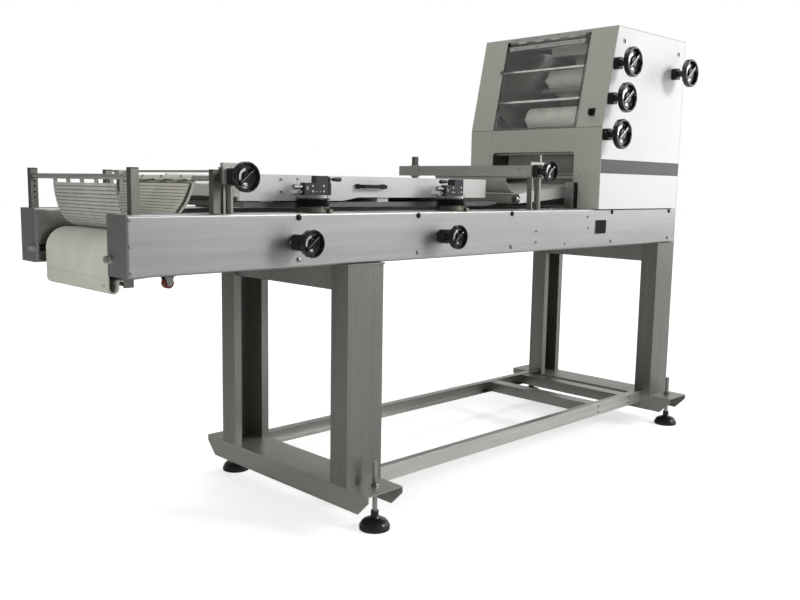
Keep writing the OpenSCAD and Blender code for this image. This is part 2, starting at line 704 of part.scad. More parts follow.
module crossbar_columns() color(steel) {
    post_z(guide_d, near_x, -post_y, [work_h, work_h + near_h]);
    post_z(guide_d, far_x, -post_y, [work_h, work_h + far_h]);
    rack(near_x - near_rack, near_h - 8);
    rack(far_x - far_rack, far_h - 44);
    rear_post(near_rear, near_bar_z + near_bar_h - work_h);
    rear_post(far_rear, far_h);
}
module slider(x, z, ends) mirror([0, 1, 0]) {
    difference() {
        slab([x - guide_d / 2 - 3, x + guide_d / 2 + 4.5], [post_y - guide_d / 2 - 5, plate_y],
            [z, z + slider_h]);
        post_z(guide_d + 2 * run, x, post_y, [z - 1, z + slider_h + 1]);
    }
    slab(ends, [plate_y, plate_y + slider_t], [z, z + slider_h]);
}
module rear_sleeve(x, ends, z, h) difference() {
    hole = rear_s / 2 + slide_gap;
    slab(ends, [rear_y - hole - 4, rear_y + hole + 4], [z, z + h]);
    slab([x - hole, x + hole], [rear_y - hole, rear_y + hole], [z - 1, z + h + 1]);
}
module indicator(x, z) difference() {
    translate([x - ind_w / 2, 0, z - ind_h / 2]) rotate([90, 0, 0]) linear_extrude(ind_d)
        rounded(ind_w, ind_h, 9);
    rod_y(wheel_shaft + 2 * run, x, z, [-ind_d - 1, 1]);
}
module crossbar_near() color(steel) {
    slider(near_x, near_z, [near_x - 30, near_bar[1]]);
    rear_sleeve(near_rear, [near_rear - rear_s / 2 - 4.5, near_bar[0] + 0.5],
        near_bar_z + near_bar_h - 22, 22);
    slab(near_bar, [-plate_y - 0.5, post_y + near_over], [near_bar_z, near_bar_z + near_bar_h]);
    translate([0, -ind_y, 0]) indicator(near_ax, near_az);
}
module crossbar_far() color(steel) {
    slider(far_x, far_z, [far_bar[0] - 1.5, far_x + guide_d / 2 + 4.5]);
    rear_sleeve(far_rear, [far_bar[1] - 0.5, far_rear + rear_s / 2 + 4.5], far_bar_z - 4, far_bar_h + 8);
    slab(far_bar, [-plate_y - 0.5, post_y + far_over], [far_bar_z, far_bar_z + far_bar_h]);
    translate([0, -ind_y, 0]) indicator(far_ax, far_az);
}

// Handwheel: rim with finger lobes, dished web, hub and a raised bar across; local +z points out
module handwheel(d, t, neck, reach) {
    r = d / 2;
    difference() {
        rotate_extrude() polygon([[0, 0], [r * 0.9, 0], [r, t * 0.14], [r, t * 0.82],
            [r * 0.95, t], [r * 0.84, t], [r * 0.76, t * 0.42],
            [r * 0.36, t * 0.3], [r * 0.3, t * 0.78], [0, t * 0.78]]);
        for (a = [0:36:324]) rotate(a) translate([r * 0.73, 0, t * 0.5])
            cylinder(d = r * 0.3, h = t);
        for (a = [0:36:324]) rotate(a + 18) translate([r * 1.04, 0, -1])
            cylinder(d = r * 0.16, h = t + 2);
    }
    rotate(40) translate([-r * 0.72, -r * 0.1, t * 0.3]) cube([r * 1.44, r * 0.2, t * 0.6]);
    translate([0, 0, -neck]) cylinder(d = wheel_shaft + 14, h = neck + 1);
    translate([0, 0, -neck - reach]) cylinder(d = wheel_shaft, h = reach + 1);
}
module small_wheel(x, y, z, reach) color(black) translate([x, y - ind_d - small_neck, z])
    rotate([90, 0, 0]) handwheel(small_d, small_t, small_neck - seat, reach + seat);
module head_wheel(i) color(black)
    translate([x0 + head_wheels[i][0], -head_y - ind_d - big_neck, work_h + head_wheels[i][1]])
    rotate([90, 0, 0]) handwheel(big_d, big_t, big_neck - seat, ind_d + skin + 24);
module wheel_crossbar_near() small_wheel(near_ax, -ind_y, near_az, ind_d - 1);
module wheel_crossbar_far() small_wheel(far_ax, -ind_y, far_az, ind_d - 1);
module wheel_lift_left() small_wheel(x0 + lift_wheel_at[0], -y_out, lift_wheel_z, ind_d + 33);
module wheel_lift_right() small_wheel(x0 + lift_wheel_at[1], -y_out, lift_wheel_z, ind_d + 33);
module wheel_head_1() head_wheel(0);
module wheel_head_2() head_wheel(1);
module wheel_head_3() head_wheel(2);
module wheel_head_4() head_wheel(3);
module indicator_housings() color(black) {
    for (u = lift_wheel_at) translate([0, -y_out, 0]) indicator(x0 + u, lift_wheel_z);
    for (w = head_wheels) translate([0, -head_y, 0]) indicator(x0 + w[0], work_h + w[1]);
}

// Curling mat that hangs from the far crossbar onto the discharge conveyor
mat2_x = [far_bar[1] + seat, far_bar[1] + 48];
mat2_top = far_z + 8;
mat2_foot = mat2_x[1] + 22;
function dis_top(x) = dis_z + (x - dis_x) * tan(dis_rise) + (dis_r + seat + dis_t) / cos(dis_rise);
curl_line = [for (i = [0:20]) let (t = i / 20) bezier([mat2_x[0], mat2_top],
    [mat2_x[0] + 6, mat2_top - 40], [mat2_x[1] - 24, dis_top(mat2_x[1]) + 10],
    [mat2_foot, dis_top(mat2_foot) + 1.5], t)];
module curling_mat() color([0.62, 0.62, 0.60]) along_y([-dis_y, dis_y]) polygon(concat(
    rim(curl_line, 0), [for (p = [1:len(curl_line)])
    ribbed(curl_line, mat_t, rib_h)[len(curl_line) - p]]));

// Inner mat that hangs in the outlet from its own rod
inner_x = hx + 84;
inner_z = [work_h + 128, work_h + out_h + 14];
inner_line = [for (i = [0:16]) [inner_x, inner_z[1] + (inner_z[0] - inner_z[1]) * i / 16]];
module inner_mat() color([0.62, 0.62, 0.60]) {
    along_y([-dis_y, dis_y]) polygon(concat(rim(inner_line, 0), [for (p = [1:len(inner_line)])
        ribbed(inner_line, -mat_t, -rib_h)[len(inner_line) - p]]));
    rod_y(12, inner_x + 2, inner_z[1], [-cheek_y, cheek_y]);
}

// Pressure board: two side panels, a deck between them and the pressing plate below
bx = [x0 + board_at, x0 + board_at + board_l];
board_z = work_h + board_up;
press_z = board_z - 4 - press_t;
module pressure_board() color(white) {
    both_sides() along_y([board_y - board_t, board_y]) polygon([[bx[0], board_z],
        [bx[0] + step_at, board_z], [bx[0] + step_at + 66, board_z + step_h],
        [bx[1], board_z + step_h], [bx[1], board_z + board_h], [bx[0], board_z + board_h]]);
    slab(bx, [board_t - board_y, board_y - board_t], [board_z + 44, board_z + 48]);
    for (x = [bx[0], bx[1] - 4]) slab([x, x + 4], [board_t - board_y, board_y - board_t],
        [board_z + step_h, board_z + 45]);
    for (x = [bx[0] + 80, bx[0] + 560, bx[1] - 160]) slab([x, x + 50],
        [board_t - board_y, board_y - board_t], [press_z + press_t, board_z + 45]);
}
module press_plate() color([0.5, 0.5, 0.5]) along_y([12 - board_y, board_y - 12]) polygon([
    [bx[0] + 20, press_z], [bx[1] + press_over - 60, press_z], [bx[1] + press_over, press_z + 8],
    [bx[1] + press_over, press_z + press_t], [bx[0] + 20, press_z + press_t]]);

// Lifting units: base, bellows, and a block on a spindle that carries the board
ring_z = work_h + unit_h + bellows_h;
ring_t = 9;
block_z = ring_z + ring_t;
module lift_bases() color(steel) both_sides() for (u = unit_at) difference() {
    union() {
        post_z(unit_d, x0 + u, y_mid, [work_h, work_h + unit_h]);
        translate([x0 + u + 20, y_mid + 44, work_h]) cube([14, 14, unit_h]);
    }
    post_z(spindle_d + 2 * run, x0 + u, y_mid, [work_h - 1, work_h + unit_h + 1]);
}
module bellows(x) translate([x, y_mid, work_h + unit_h]) rotate_extrude() polygon(concat(
    [[spindle_d / 2 + 4, 0]], [for (i = [0:6]) [unit_d / 2 - (i % 2 == 0 ? 12 : 1),
    bellows_h * i / 6]], [[spindle_d / 2 + 4, bellows_h]]));
module lift_bellows() color(black) both_sides() for (u = unit_at) bellows(x0 + u);
block_l = 90;
block_t = 24;
lever_up = 38;
function block_x(i) = x0 + unit_at[i] - 37;
module lift_block(i) {
    x = block_x(i);
    post_z(unit_d - 6, x0 + unit_at[i], y_mid, [ring_z, block_z]);
    post_z(spindle_d, x0 + unit_at[i], y_mid, [beam_z + beam_wall + lift_down + 6, ring_z + 1]);
    slab([x, x + block_l], [y_mid - block_t / 2, y_mid + block_t / 2], [block_z, block_z + 37]);
    slab([x + 43, x + block_l], [y_mid - block_t / 2, y_mid + block_t / 2],
        [block_z, block_z + 58]);
    slab([x + 12, x + 52], [board_y, y_mid - block_t / 2 + 1], [block_z + 4, block_z + 32]);
}
handle_x = [bx[0] + 457, bx[0] + 571];
handle_z = board_z + 47;
module board_fittings() color(dark) {
    difference() {
        union() {
            both_sides() for (i = [0, 1]) lift_block(i);
            post_z(20, lever_x(0), -y_mid, [block_z, block_z + lever_up]);
        }
        for (i = [0, 1]) rod_x(8 + 2 * run, -y_mid, plunger_z, [block_x(i) - 1, block_x(i) + 26]);
        for (i = [0, 1]) post_z(lever_pin + 2 * run, lever_x(i), -y_mid,
            [block_z + 12, block_z + 60]);
    }
    translate([0, -board_y, handle_z]) rotate([90, 0, 0]) linear_extrude(5)
        for (x = handle_x) translate([x - 8, -8]) square([16, 16]);
    along_z_handle();
}
module along_z_handle() translate([0, 0, handle_z - 6]) linear_extrude(12) difference() {
    polygon([[handle_x[0] - 8, -board_y], [handle_x[0], -board_y - 24], [handle_x[0] + 8,
        -board_y - 28], [handle_x[1] - 8, -board_y - 28], [handle_x[1], -board_y - 24],
        [handle_x[1] + 8, -board_y]]);
    polygon([[handle_x[0] + 8, -board_y + 1], [handle_x[0] + 14, -board_y - 18],
        [handle_x[1] - 14, -board_y - 18], [handle_x[1] - 8, -board_y + 1]]);
}

// Clamp levers stand on the blocks; the left one points to the head, the right one away from it
lever_pin = 8;
function lever_x(i) = i == 0 ? block_x(0) + block_l + 9 : block_x(1) + 31;
module clamp_lever(i, s) {
    z = block_z + lever_up;
    translate([lever_x(i), -y_mid, z + seat]) {
        translate([0, 0, -24]) cylinder(d = lever_pin, h = 26);
        cylinder(d = 15, h = 17);
        rotate([0, s * 90, 0]) translate([-10 * s, 0, 6]) {
            cylinder(d = 6, h = 14);
            translate([0, 0, 11]) rotate_extrude() polygon([[0, 0], [4.5, 0], [6, 6], [7, 28],
                [6, 33], [0, 34]]);
        }
    }
}
module clamp_lever_left() color(black) clamp_lever(0, 1);
module clamp_lever_right() color(black) clamp_lever(1, -1);
plunger_z = block_z + 24;
plunger_run = 8;
module plunger(i) {
    x = block_x(i);
    rod_x(8, -y_mid, plunger_z, [x - 20, x + 16]);
    rod_x(16, -y_mid, plunger_z, [x - 34, x - 18]);
    rod_x(12, -y_mid, plunger_z, [x - 18.5, x - 1]);
}
module plunger_left() color(steel) plunger(0);
module plunger_right() color(steel) plunger(1);

// Head: casing
side_pts = [[hx + skin, work_h], [hx + skin, fold_z], [hx + skin + lean, top_z - skin],
    [hx1 - skin, top_z - skin], [hx1 - skin, work_h]];
module head_side(s) mirror([0, s > 0 ? 0 : 1, 0]) difference() {
    along_y([head_y - skin, head_y]) polygon(side_pts);
    if (s < 0) for (w = head_wheels)
        rod_y(wheel_shaft + 2, x0 + w[0], work_h + w[1], [head_y - skin - 1, head_y + 1]);
}
module head_side_front() color(white) head_side(-1);
module head_side_rear() color(white) head_side(1);
knuckles = 9;
knuckle_y = win_y - 23;
knuckle_l = 2 * knuckle_y / knuckles;
module head_front() color(taupe) {
    front_sheet();
    hinge_leaf();
}
module front_sheet() difference() {
    along_y([-head_y, head_y]) polygon([[hx, work_h], [hx, fold_z], [hx + lean, top_z],
        [hx + lean + skin, top_z], [hx + skin, fold_z], [hx + skin, work_h]]);
    along_x([hx - 1, hx + skin + 1]) {
        translate([-out_y, work_h - 1]) square([2 * out_y, out_h + 1 - out_r]);
        translate([out_r - out_y, work_h]) square([2 * out_y - 2 * out_r, out_h]);
        for (s = [-1, 1]) translate([s * (out_y - out_r), work_h + out_h - out_r]) circle(out_r);
        translate([-foot_y, work_h - 1]) square([2 * foot_y, foot_up + 1]);
    }
    on_face() translate([-5, -win_y, 1]) cube([20, 2 * win_y, win_l - 1]);
}
module hinge_leaf() {
    on_face() difference() {
        union() {
            translate([-pin_out - 0.5, -knuckle_y, win_l - pin_in])
                cube([pin_out + 0.5, 2 * knuckle_y, pin_in + 12]);
            for (k = [1:2:knuckles - 2]) translate([-pin_out, k * knuckle_l - knuckle_y + 0.3,
                win_l - pin_in]) rotate([-90, 0, 0]) cylinder(d = 8, h = knuckle_l - 0.6);
        }
        translate([-pin_out, -knuckle_y - 1, win_l - pin_in]) rotate([-90, 0, 0])
            cylinder(d = 4 + 2 * run, h = 2 * knuckle_y + 2);
        for (k = [0:2:knuckles - 1]) translate([-pin_out - 5, k * knuckle_l - knuckle_y - 0.3,
            win_l - pin_in - 5]) cube([10, knuckle_l + 0.6, 10]);
    }
}
module head_cover() color(taupe) {
    cover_sheet();
    slab([hx + feed_at[0] - skin, hx + feed_at[0]], [-feed_y - 10, feed_y + 10],
        [top_z - feed_lip, top_z - skin / 2]);
}
module cover_sheet() difference() {
    along_y([-head_y, head_y]) polygon([[hx + lean + skin, top_z - skin], [hx + lean + skin, top_z],
        [hx1, top_z], [hx1, work_h], [hx1 - skin, work_h], [hx1 - skin, top_z - skin]]);
    slab([hx + feed_at[0], hx + feed_at[0] + feed_at[1]], [-feed_y, feed_y], [top_z - 5, top_z + 1]);
    for (z = [60:24:180], s = [-1, 1]) slab([hx1 - 5, hx1 + 1], [s * 150 - 60, s * 150 + 60],
        [work_h + z, work_h + z + 6]);
}
// Inner plates that carry the rollers, cut away at the lower front
function tilt(p, span) = p + span * [cos(pair_dip), -sin(pair_dip)];
up_rear = tilt([up_x, up_z], up_span);
low_rear = tilt([low_x, low_z], low_span);
module head_cheeks() color(steel) both_sides() difference() {
    along_y([cheek_y, cheek_y + cheek_t]) polygon([[hx + skin + 14, work_h], [hx + skin + 14,
        work_h + out_h], [low_x - 16, low_z - 120], [hx + 42, work_h + 424], [hx + lean, top_z - 30],
        [hx1 - 14, top_z - 30], [hx1 - 14, work_h]]);
    for (p = [[up_x, up_z], up_rear, [low_x, low_z], low_rear])
        rod_y(roll_shaft + 2 * run, p[0], p[1], [cheek_y - 1, cheek_y + cheek_t + 1]);
}
// Guard rods behind the window, scrapers under the front rollers, and discharge bearing bars
module head_bars() color(steel) {
    for (p = [[hx + 66, work_h + 465], [hx + 98, work_h + 603], [hx + 56, work_h + 143]])
        rod_y(12, p[0], p[1], [-cheek_y, cheek_y]);
    for (p = [[up_x, up_z, up_r, 120], [low_x, low_z, low_r, 120],
        [up_rear[0], up_rear[1], up_r, 60], [low_rear[0], low_rear[1], low_r, 60]])
        translate([p[0], 0, p[1]]) rotate([0, p[3], 0])
        translate([p[2] + 1, -cheek_y, -2]) cube([26, 2 * cheek_y, 4]);
}
module window_pane() color([0.8, 0.85, 0.85, 0.35]) on_face() {
    translate([0, pane_gap - win_y, 4]) cube([pane_t, 2 * (win_y - pane_gap), win_l - 24]);
    translate([-2, -knuckle_y, win_l - 50]) cube([pane_t, 2 * knuckle_y, 30]);
    translate([-pin_out, -knuckle_y, win_l - pin_in]) rotate([-90, 0, 0])
        cylinder(d = 4, h = 2 * knuckle_y);
    for (k = [0:2:knuckles - 1]) translate([-pin_out, k * knuckle_l - knuckle_y + 0.3,
        win_l - pin_in]) rotate([-90, 0, 0]) cylinder(d = 8, h = knuckle_l - 0.6);
    for (k = [0:2:knuckles - 1]) translate([-pin_out, k * knuckle_l - knuckle_y + 0.3,
        win_l - 24]) cube([2, knuckle_l - 0.6, 24 - pin_in]);
}
module sheeting_roller(r, p, out) {
    rod_y(2 * r, p[0], p[1], [-roll_y, roll_y]);
    rod_y(roll_shaft, p[0], p[1], [-cheek_y - cheek_t - out, cheek_y + cheek_t + out]);
}
module roller_upper_front() color(cream) sheeting_roller(up_r, [up_x, up_z], 24);
module roller_upper_rear() color(cream) sheeting_roller(up_r, up_rear, 24);
module roller_lower_front() color(cream) sheeting_roller(low_r, [low_x, low_z], 24);
module roller_lower_rear() color(cream) sheeting_roller(low_r, low_rear, 24);

// Discharge conveyor: side plates with a bed between them, belt and nose roller
module discharge_frame() color(steel) {
    top = dis_r + seat + dis_t;
    on_discharge() difference() {
        union() {
            both_sides() along_y([dis_plate_y, dis_plate_y + dis_plate_t]) union() {
                circle(dis_r + 1);
                polygon([[0, dis_r + 1], [60, top], [dis_l + 20, top], [dis_l + 20, -dis_r - 18],
                    [170, -dis_r - 8], [0, -dis_r - 1]]);
            }
            slab([dis_r + 12, dis_l - 30], [-dis_plate_y - 1, dis_plate_y + 1],
                [dis_r + seat - 3, dis_r + seat]);
        }
        for (x = [0, dis_l]) rod_y(12 + 2 * run, x, 0, [-dis_plate_y - 9, dis_plate_y + 9]);
    }
    both_sides() slab([hx - 30, hx - seat], [dis_plate_y + 1, foot_y - 5],
        [work_h, work_h + foot_up]);
}
function stadium(r, l) = concat(arc([0, 0], r, 90, 270, 14), arc([l, 0], r, -90, 90, 14));
module discharge_belt() color(cream) on_discharge() along_y([-dis_y, dis_y]) difference() {
    polygon(stadium(dis_r + seat + dis_t, dis_l));
    polygon(stadium(dis_r + seat, dis_l));
}
module discharge_roller(x) color(steel) on_discharge() {
    rod_y(2 * dis_r, x, 0, [-dis_y - 4, dis_y + 4]);
    rod_y(12, x, 0, [-dis_plate_y - dis_plate_t - 6, dis_plate_y + dis_plate_t + 6]);
}
module discharge_nose() discharge_roller(0);
module discharge_drive() discharge_roller(dis_l);

// Main switch on the leaning face
switch_u = 60;
switch_y = -291;
module main_switch() color(black) on_face() translate([-seat, switch_y, switch_u])
    rotate([0, -90, 0]) {
        cylinder(d = 30, h = 9);
        translate([0, 0, 8]) linear_extrude(16) rounded_bar(26, 8);
    }
module rounded_bar(l, w) {
    square([l - w, w], center = true);
    for (s = [-1, 1]) translate([s * (l - w) / 2, 0]) circle(d = w);
}

base_channels();
legs_left();
legs_right();
frame_rails();
foot_front_left();
foot_rear_left();
foot_front_right();
foot_rear_right();
beam_front();
beam_rear();
slider_bed();
nose_roller();
drive_roller();
conveyor_belt();
fasteners();
castor_bracket();
castor_wheel();
sling_posts();
sling_bars();
sling_mat();
sling_canvas();
crossbar_columns();
crossbar_near();
crossbar_far();
wheel_crossbar_near();
wheel_crossbar_far();
curling_mat();
inner_mat();
pressure_board();
press_plate();
board_fittings();
lift_bases();
lift_bellows();
clamp_lever_left();
clamp_lever_right();
plunger_left();
plunger_right();
wheel_lift_left();
wheel_lift_right();
indicator_housings();
head_side_front();
head_side_rear();
head_front();
head_cover();
head_cheeks();
head_bars();
window_pane();
roller_upper_front();
roller_upper_rear();
roller_lower_front();
roller_lower_rear();
discharge_frame();
discharge_belt();
discharge_nose();
discharge_drive();
wheel_head_1();
wheel_head_2();
wheel_head_3();
wheel_head_4();
main_switch();
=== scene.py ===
import math
import random

import bmesh
import bpy
from mathutils import Matrix, Vector
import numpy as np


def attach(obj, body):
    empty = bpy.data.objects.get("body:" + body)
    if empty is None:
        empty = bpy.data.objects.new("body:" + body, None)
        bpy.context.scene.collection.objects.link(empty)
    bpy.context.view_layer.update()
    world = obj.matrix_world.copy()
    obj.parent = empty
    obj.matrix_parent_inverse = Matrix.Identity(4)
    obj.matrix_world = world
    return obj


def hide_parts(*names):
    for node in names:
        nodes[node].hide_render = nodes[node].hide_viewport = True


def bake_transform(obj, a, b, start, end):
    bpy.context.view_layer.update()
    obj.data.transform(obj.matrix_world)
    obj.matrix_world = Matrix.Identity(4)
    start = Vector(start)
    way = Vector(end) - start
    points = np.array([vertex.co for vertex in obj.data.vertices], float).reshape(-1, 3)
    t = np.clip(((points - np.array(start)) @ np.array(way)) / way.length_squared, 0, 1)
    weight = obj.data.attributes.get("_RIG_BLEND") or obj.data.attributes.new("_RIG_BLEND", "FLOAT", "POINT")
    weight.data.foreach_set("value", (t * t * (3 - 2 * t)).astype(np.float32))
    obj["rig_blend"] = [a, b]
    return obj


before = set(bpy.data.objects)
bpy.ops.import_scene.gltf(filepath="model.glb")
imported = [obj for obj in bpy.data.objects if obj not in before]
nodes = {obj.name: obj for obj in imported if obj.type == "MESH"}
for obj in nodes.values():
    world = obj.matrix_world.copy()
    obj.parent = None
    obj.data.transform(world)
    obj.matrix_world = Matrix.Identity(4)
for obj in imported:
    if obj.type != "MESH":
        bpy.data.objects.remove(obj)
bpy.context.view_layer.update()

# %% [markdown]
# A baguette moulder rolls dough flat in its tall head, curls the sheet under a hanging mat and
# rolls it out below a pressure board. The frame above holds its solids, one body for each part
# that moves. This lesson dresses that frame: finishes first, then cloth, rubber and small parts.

random.seed(7)

# %% [markdown]
# The camera stands left of the machine at chest height and looks along it, a little down.
# Its place was solved from the photograph's straight edges. The frame is 800 by 600 pixels.

# %% Camera


def add_object(name, data):
    """A new object in the scene."""
    obj = bpy.data.objects.new(name, data)
    bpy.context.scene.collection.objects.link(obj)
    return obj


EYE = Vector((-2.4104, -2.3444, 1.1014))
YAW, PITCH, ROLL = math.radians(44.68), math.radians(7.59), math.radians(0.98)
forward = Vector((math.sin(YAW) * math.cos(PITCH), math.cos(YAW) * math.cos(PITCH), -math.sin(PITCH)))
level = Vector((math.cos(YAW), -math.sin(YAW), 0))
upright = level.cross(forward)
right = level * math.cos(ROLL) + upright * math.sin(ROLL)
up = upright * math.cos(ROLL) - level * math.sin(ROLL)
camera_data = bpy.data.cameras.new("camera")
camera_data.lens, camera_data.sensor_width = 38.9, 36
camera_data.clip_end = 60
camera = add_object("camera", camera_data)
turn = Matrix((right, up, -forward)).transposed()
camera.matrix_world = Matrix.Translation(EYE) @ turn.to_4x4()
bpy.context.scene.camera = camera
print("camera at", tuple(EYE), "looking along", tuple(round(c, 3) for c in forward))

# %% [markdown]
# A studio for a steel machine is a white room with one large soft lamp and three weak ones. The
# large one stands to the right, so shadows of the handwheels fall to the left. The room is
# darker towards the outfeed end, which gives the steel that looks that way its deeper grey.

# %% Room, lamps and floor
bpy.context.scene.view_settings.view_transform = "Standard"


def join(tree, source, target):
    """One wire between two sockets."""
    tree.links.new(source, target)


def add_node(tree, kind, inputs=(), **settings):
    """A node with its settings. Each input is wired to a socket or set to a value."""
    node = tree.nodes.new(kind)
    for name, value in settings.items():
        setattr(node, name, value)
    for key, value in dict(inputs).items():
        if isinstance(value, bpy.types.NodeSocket):
            join(tree, value, node.inputs[key])
        else:
            node.inputs[key].default_value = value
    return node


def maths(tree, operation, *values):
    """The result of a Math node."""
    return add_node(tree, "ShaderNodeMath", dict(enumerate(values)), operation=operation).outputs[0]


def ramp(tree, value, stops):
    """Colours or greys at places along a value."""
    node = add_node(tree, "ShaderNodeValToRGB", {"Fac": value})
    elements = node.color_ramp.elements
    for k, (at, colour) in enumerate(stops):
        element = elements[k] if k < 2 else elements.new(at)
        element.position = at
        element.color = (*colour, 1) if hasattr(colour, "__len__") else (colour, colour, colour, 1)
    return node.outputs["Color"]


def seen_from_camera(tree, ray):
    """One for rays from the camera, also through glass, else nought."""
    return maths(tree, "MAXIMUM", ray["Is Camera Ray"], ray["Is Transmission Ray"])


ROOM_GREYS = (0.0, 0.13), (0.96, 1.0), (0.5, 0.22), (0.72, 0.36), (0.83, 0.58)
world = bpy.data.worlds.new("room")
bpy.context.scene.world = world
world.use_nodes = True
tree = world.node_tree
tree.nodes.clear()
ray = add_node(tree, "ShaderNodeLightPath").outputs
where = add_node(tree, "ShaderNodeTexCoord").outputs["Generated"]
side = add_node(tree, "ShaderNodeVectorMath", {0: where, 1: (1, 0, 0.12)}, operation="DOT_PRODUCT")
tone = ramp(tree, maths(tree, "MULTIPLY_ADD", side.outputs["Value"], 0.5, 0.5), ROOM_GREYS)
seen = seen_from_camera(tree, ray)
mirrored = maths(tree, "MAXIMUM", seen, ray["Is Glossy Ray"])
blank = add_node(tree, "ShaderNodeMix", {"Factor": seen, "A": tone, "B": (1, 1, 1, 1)}, data_type="RGBA")
power = add_node(tree, "ShaderNodeMapRange", {"Value": mirrored, "To Min": 0.55, "To Max": 1.0})
glow = add_node(tree, "ShaderNodeBackground", {"Color": blank.outputs["Result"],
                                               "Strength": power.outputs[0]})
add_node(tree, "ShaderNodeOutputWorld", {0: glow.outputs[0]})


def soft_lamp(name, place, aim, size, watts):
    """A square area lamp that looks at a point."""
    data = bpy.data.lights.new(name, "AREA")
    data.shape, data.size, data.energy = "SQUARE", size, watts
    lamp = add_object(name, data)
    look = (Vector(aim) - Vector(place)).to_track_quat("-Z", "Y")
    lamp.matrix_world = Matrix.Translation(place) @ look.to_matrix().to_4x4()
    return lamp


soft_lamp("key_lamp", (3.4, -5.2, 3.4), (0.1, 0, 0.95), 1.9, 190)
soft_lamp("right_lamp", (5.6, -2.6, 2.0), (0.6, 0, 0.9), 2.2, 34)
soft_lamp("top_lamp", (0.2, 0.6, 4.6), (0, 0, 1), 3.0, 55)
fill_lamp = soft_lamp("fill_lamp", (-4.4, -1.6, 2.2), (0.3, 0, 1.1), 2.4, 85)
fill_lamp.visible_glossy = False

bm = bmesh.new()
bmesh.ops.create_grid(bm, x_segments=1, y_segments=1, size=30)
floor_mesh = bpy.data.meshes.new("floor")
bm.to_mesh(floor_mesh)
bm.free()
floor = add_object("floor", floor_mesh)
floor_paint = bpy.data.materials.new("floor")
floor_paint.use_nodes = True
tree = floor_paint.node_tree
tree.nodes.clear()
show = seen_from_camera(tree, add_node(tree, "ShaderNodeLightPath").outputs)
where = add_node(tree, "ShaderNodeTexCoord").outputs["Object"]
spread = add_node(tree, "ShaderNodeVectorMath", {0: where}, operation="LENGTH")
fade = add_node(tree, "ShaderNodeMapRange", {
    "Value": spread.outputs["Value"], "From Min": 1.6, "From Max": 4.5, "To Min": 0.6, "To Max": 1.0})
lit = add_node(tree, "ShaderNodeEmission", {"Strength": maths(tree, "MULTIPLY", show, fade.outputs[0])})
matt = add_node(tree, "ShaderNodeBsdfDiffuse", {"Color": (0.9, 0.9, 0.9, 1)})
both = add_node(tree, "ShaderNodeAddShader", {0: matt.outputs[0], 1: lit.outputs[0]})
add_node(tree, "ShaderNodeOutputMaterial", {0: both.outputs[0]})
floor_mesh.materials.append(floor_paint)
print("room, four lamps and a pale floor")

# %% [markdown]
# Every finish is a small graph of nodes on the object's own coordinates, in metres. The helper
# below starts one: a shader, a noise stretched along the grain and a rounded-edge normal, so
# that sheet edges catch the light as real folded edges do.

# %% Helpers for finishes


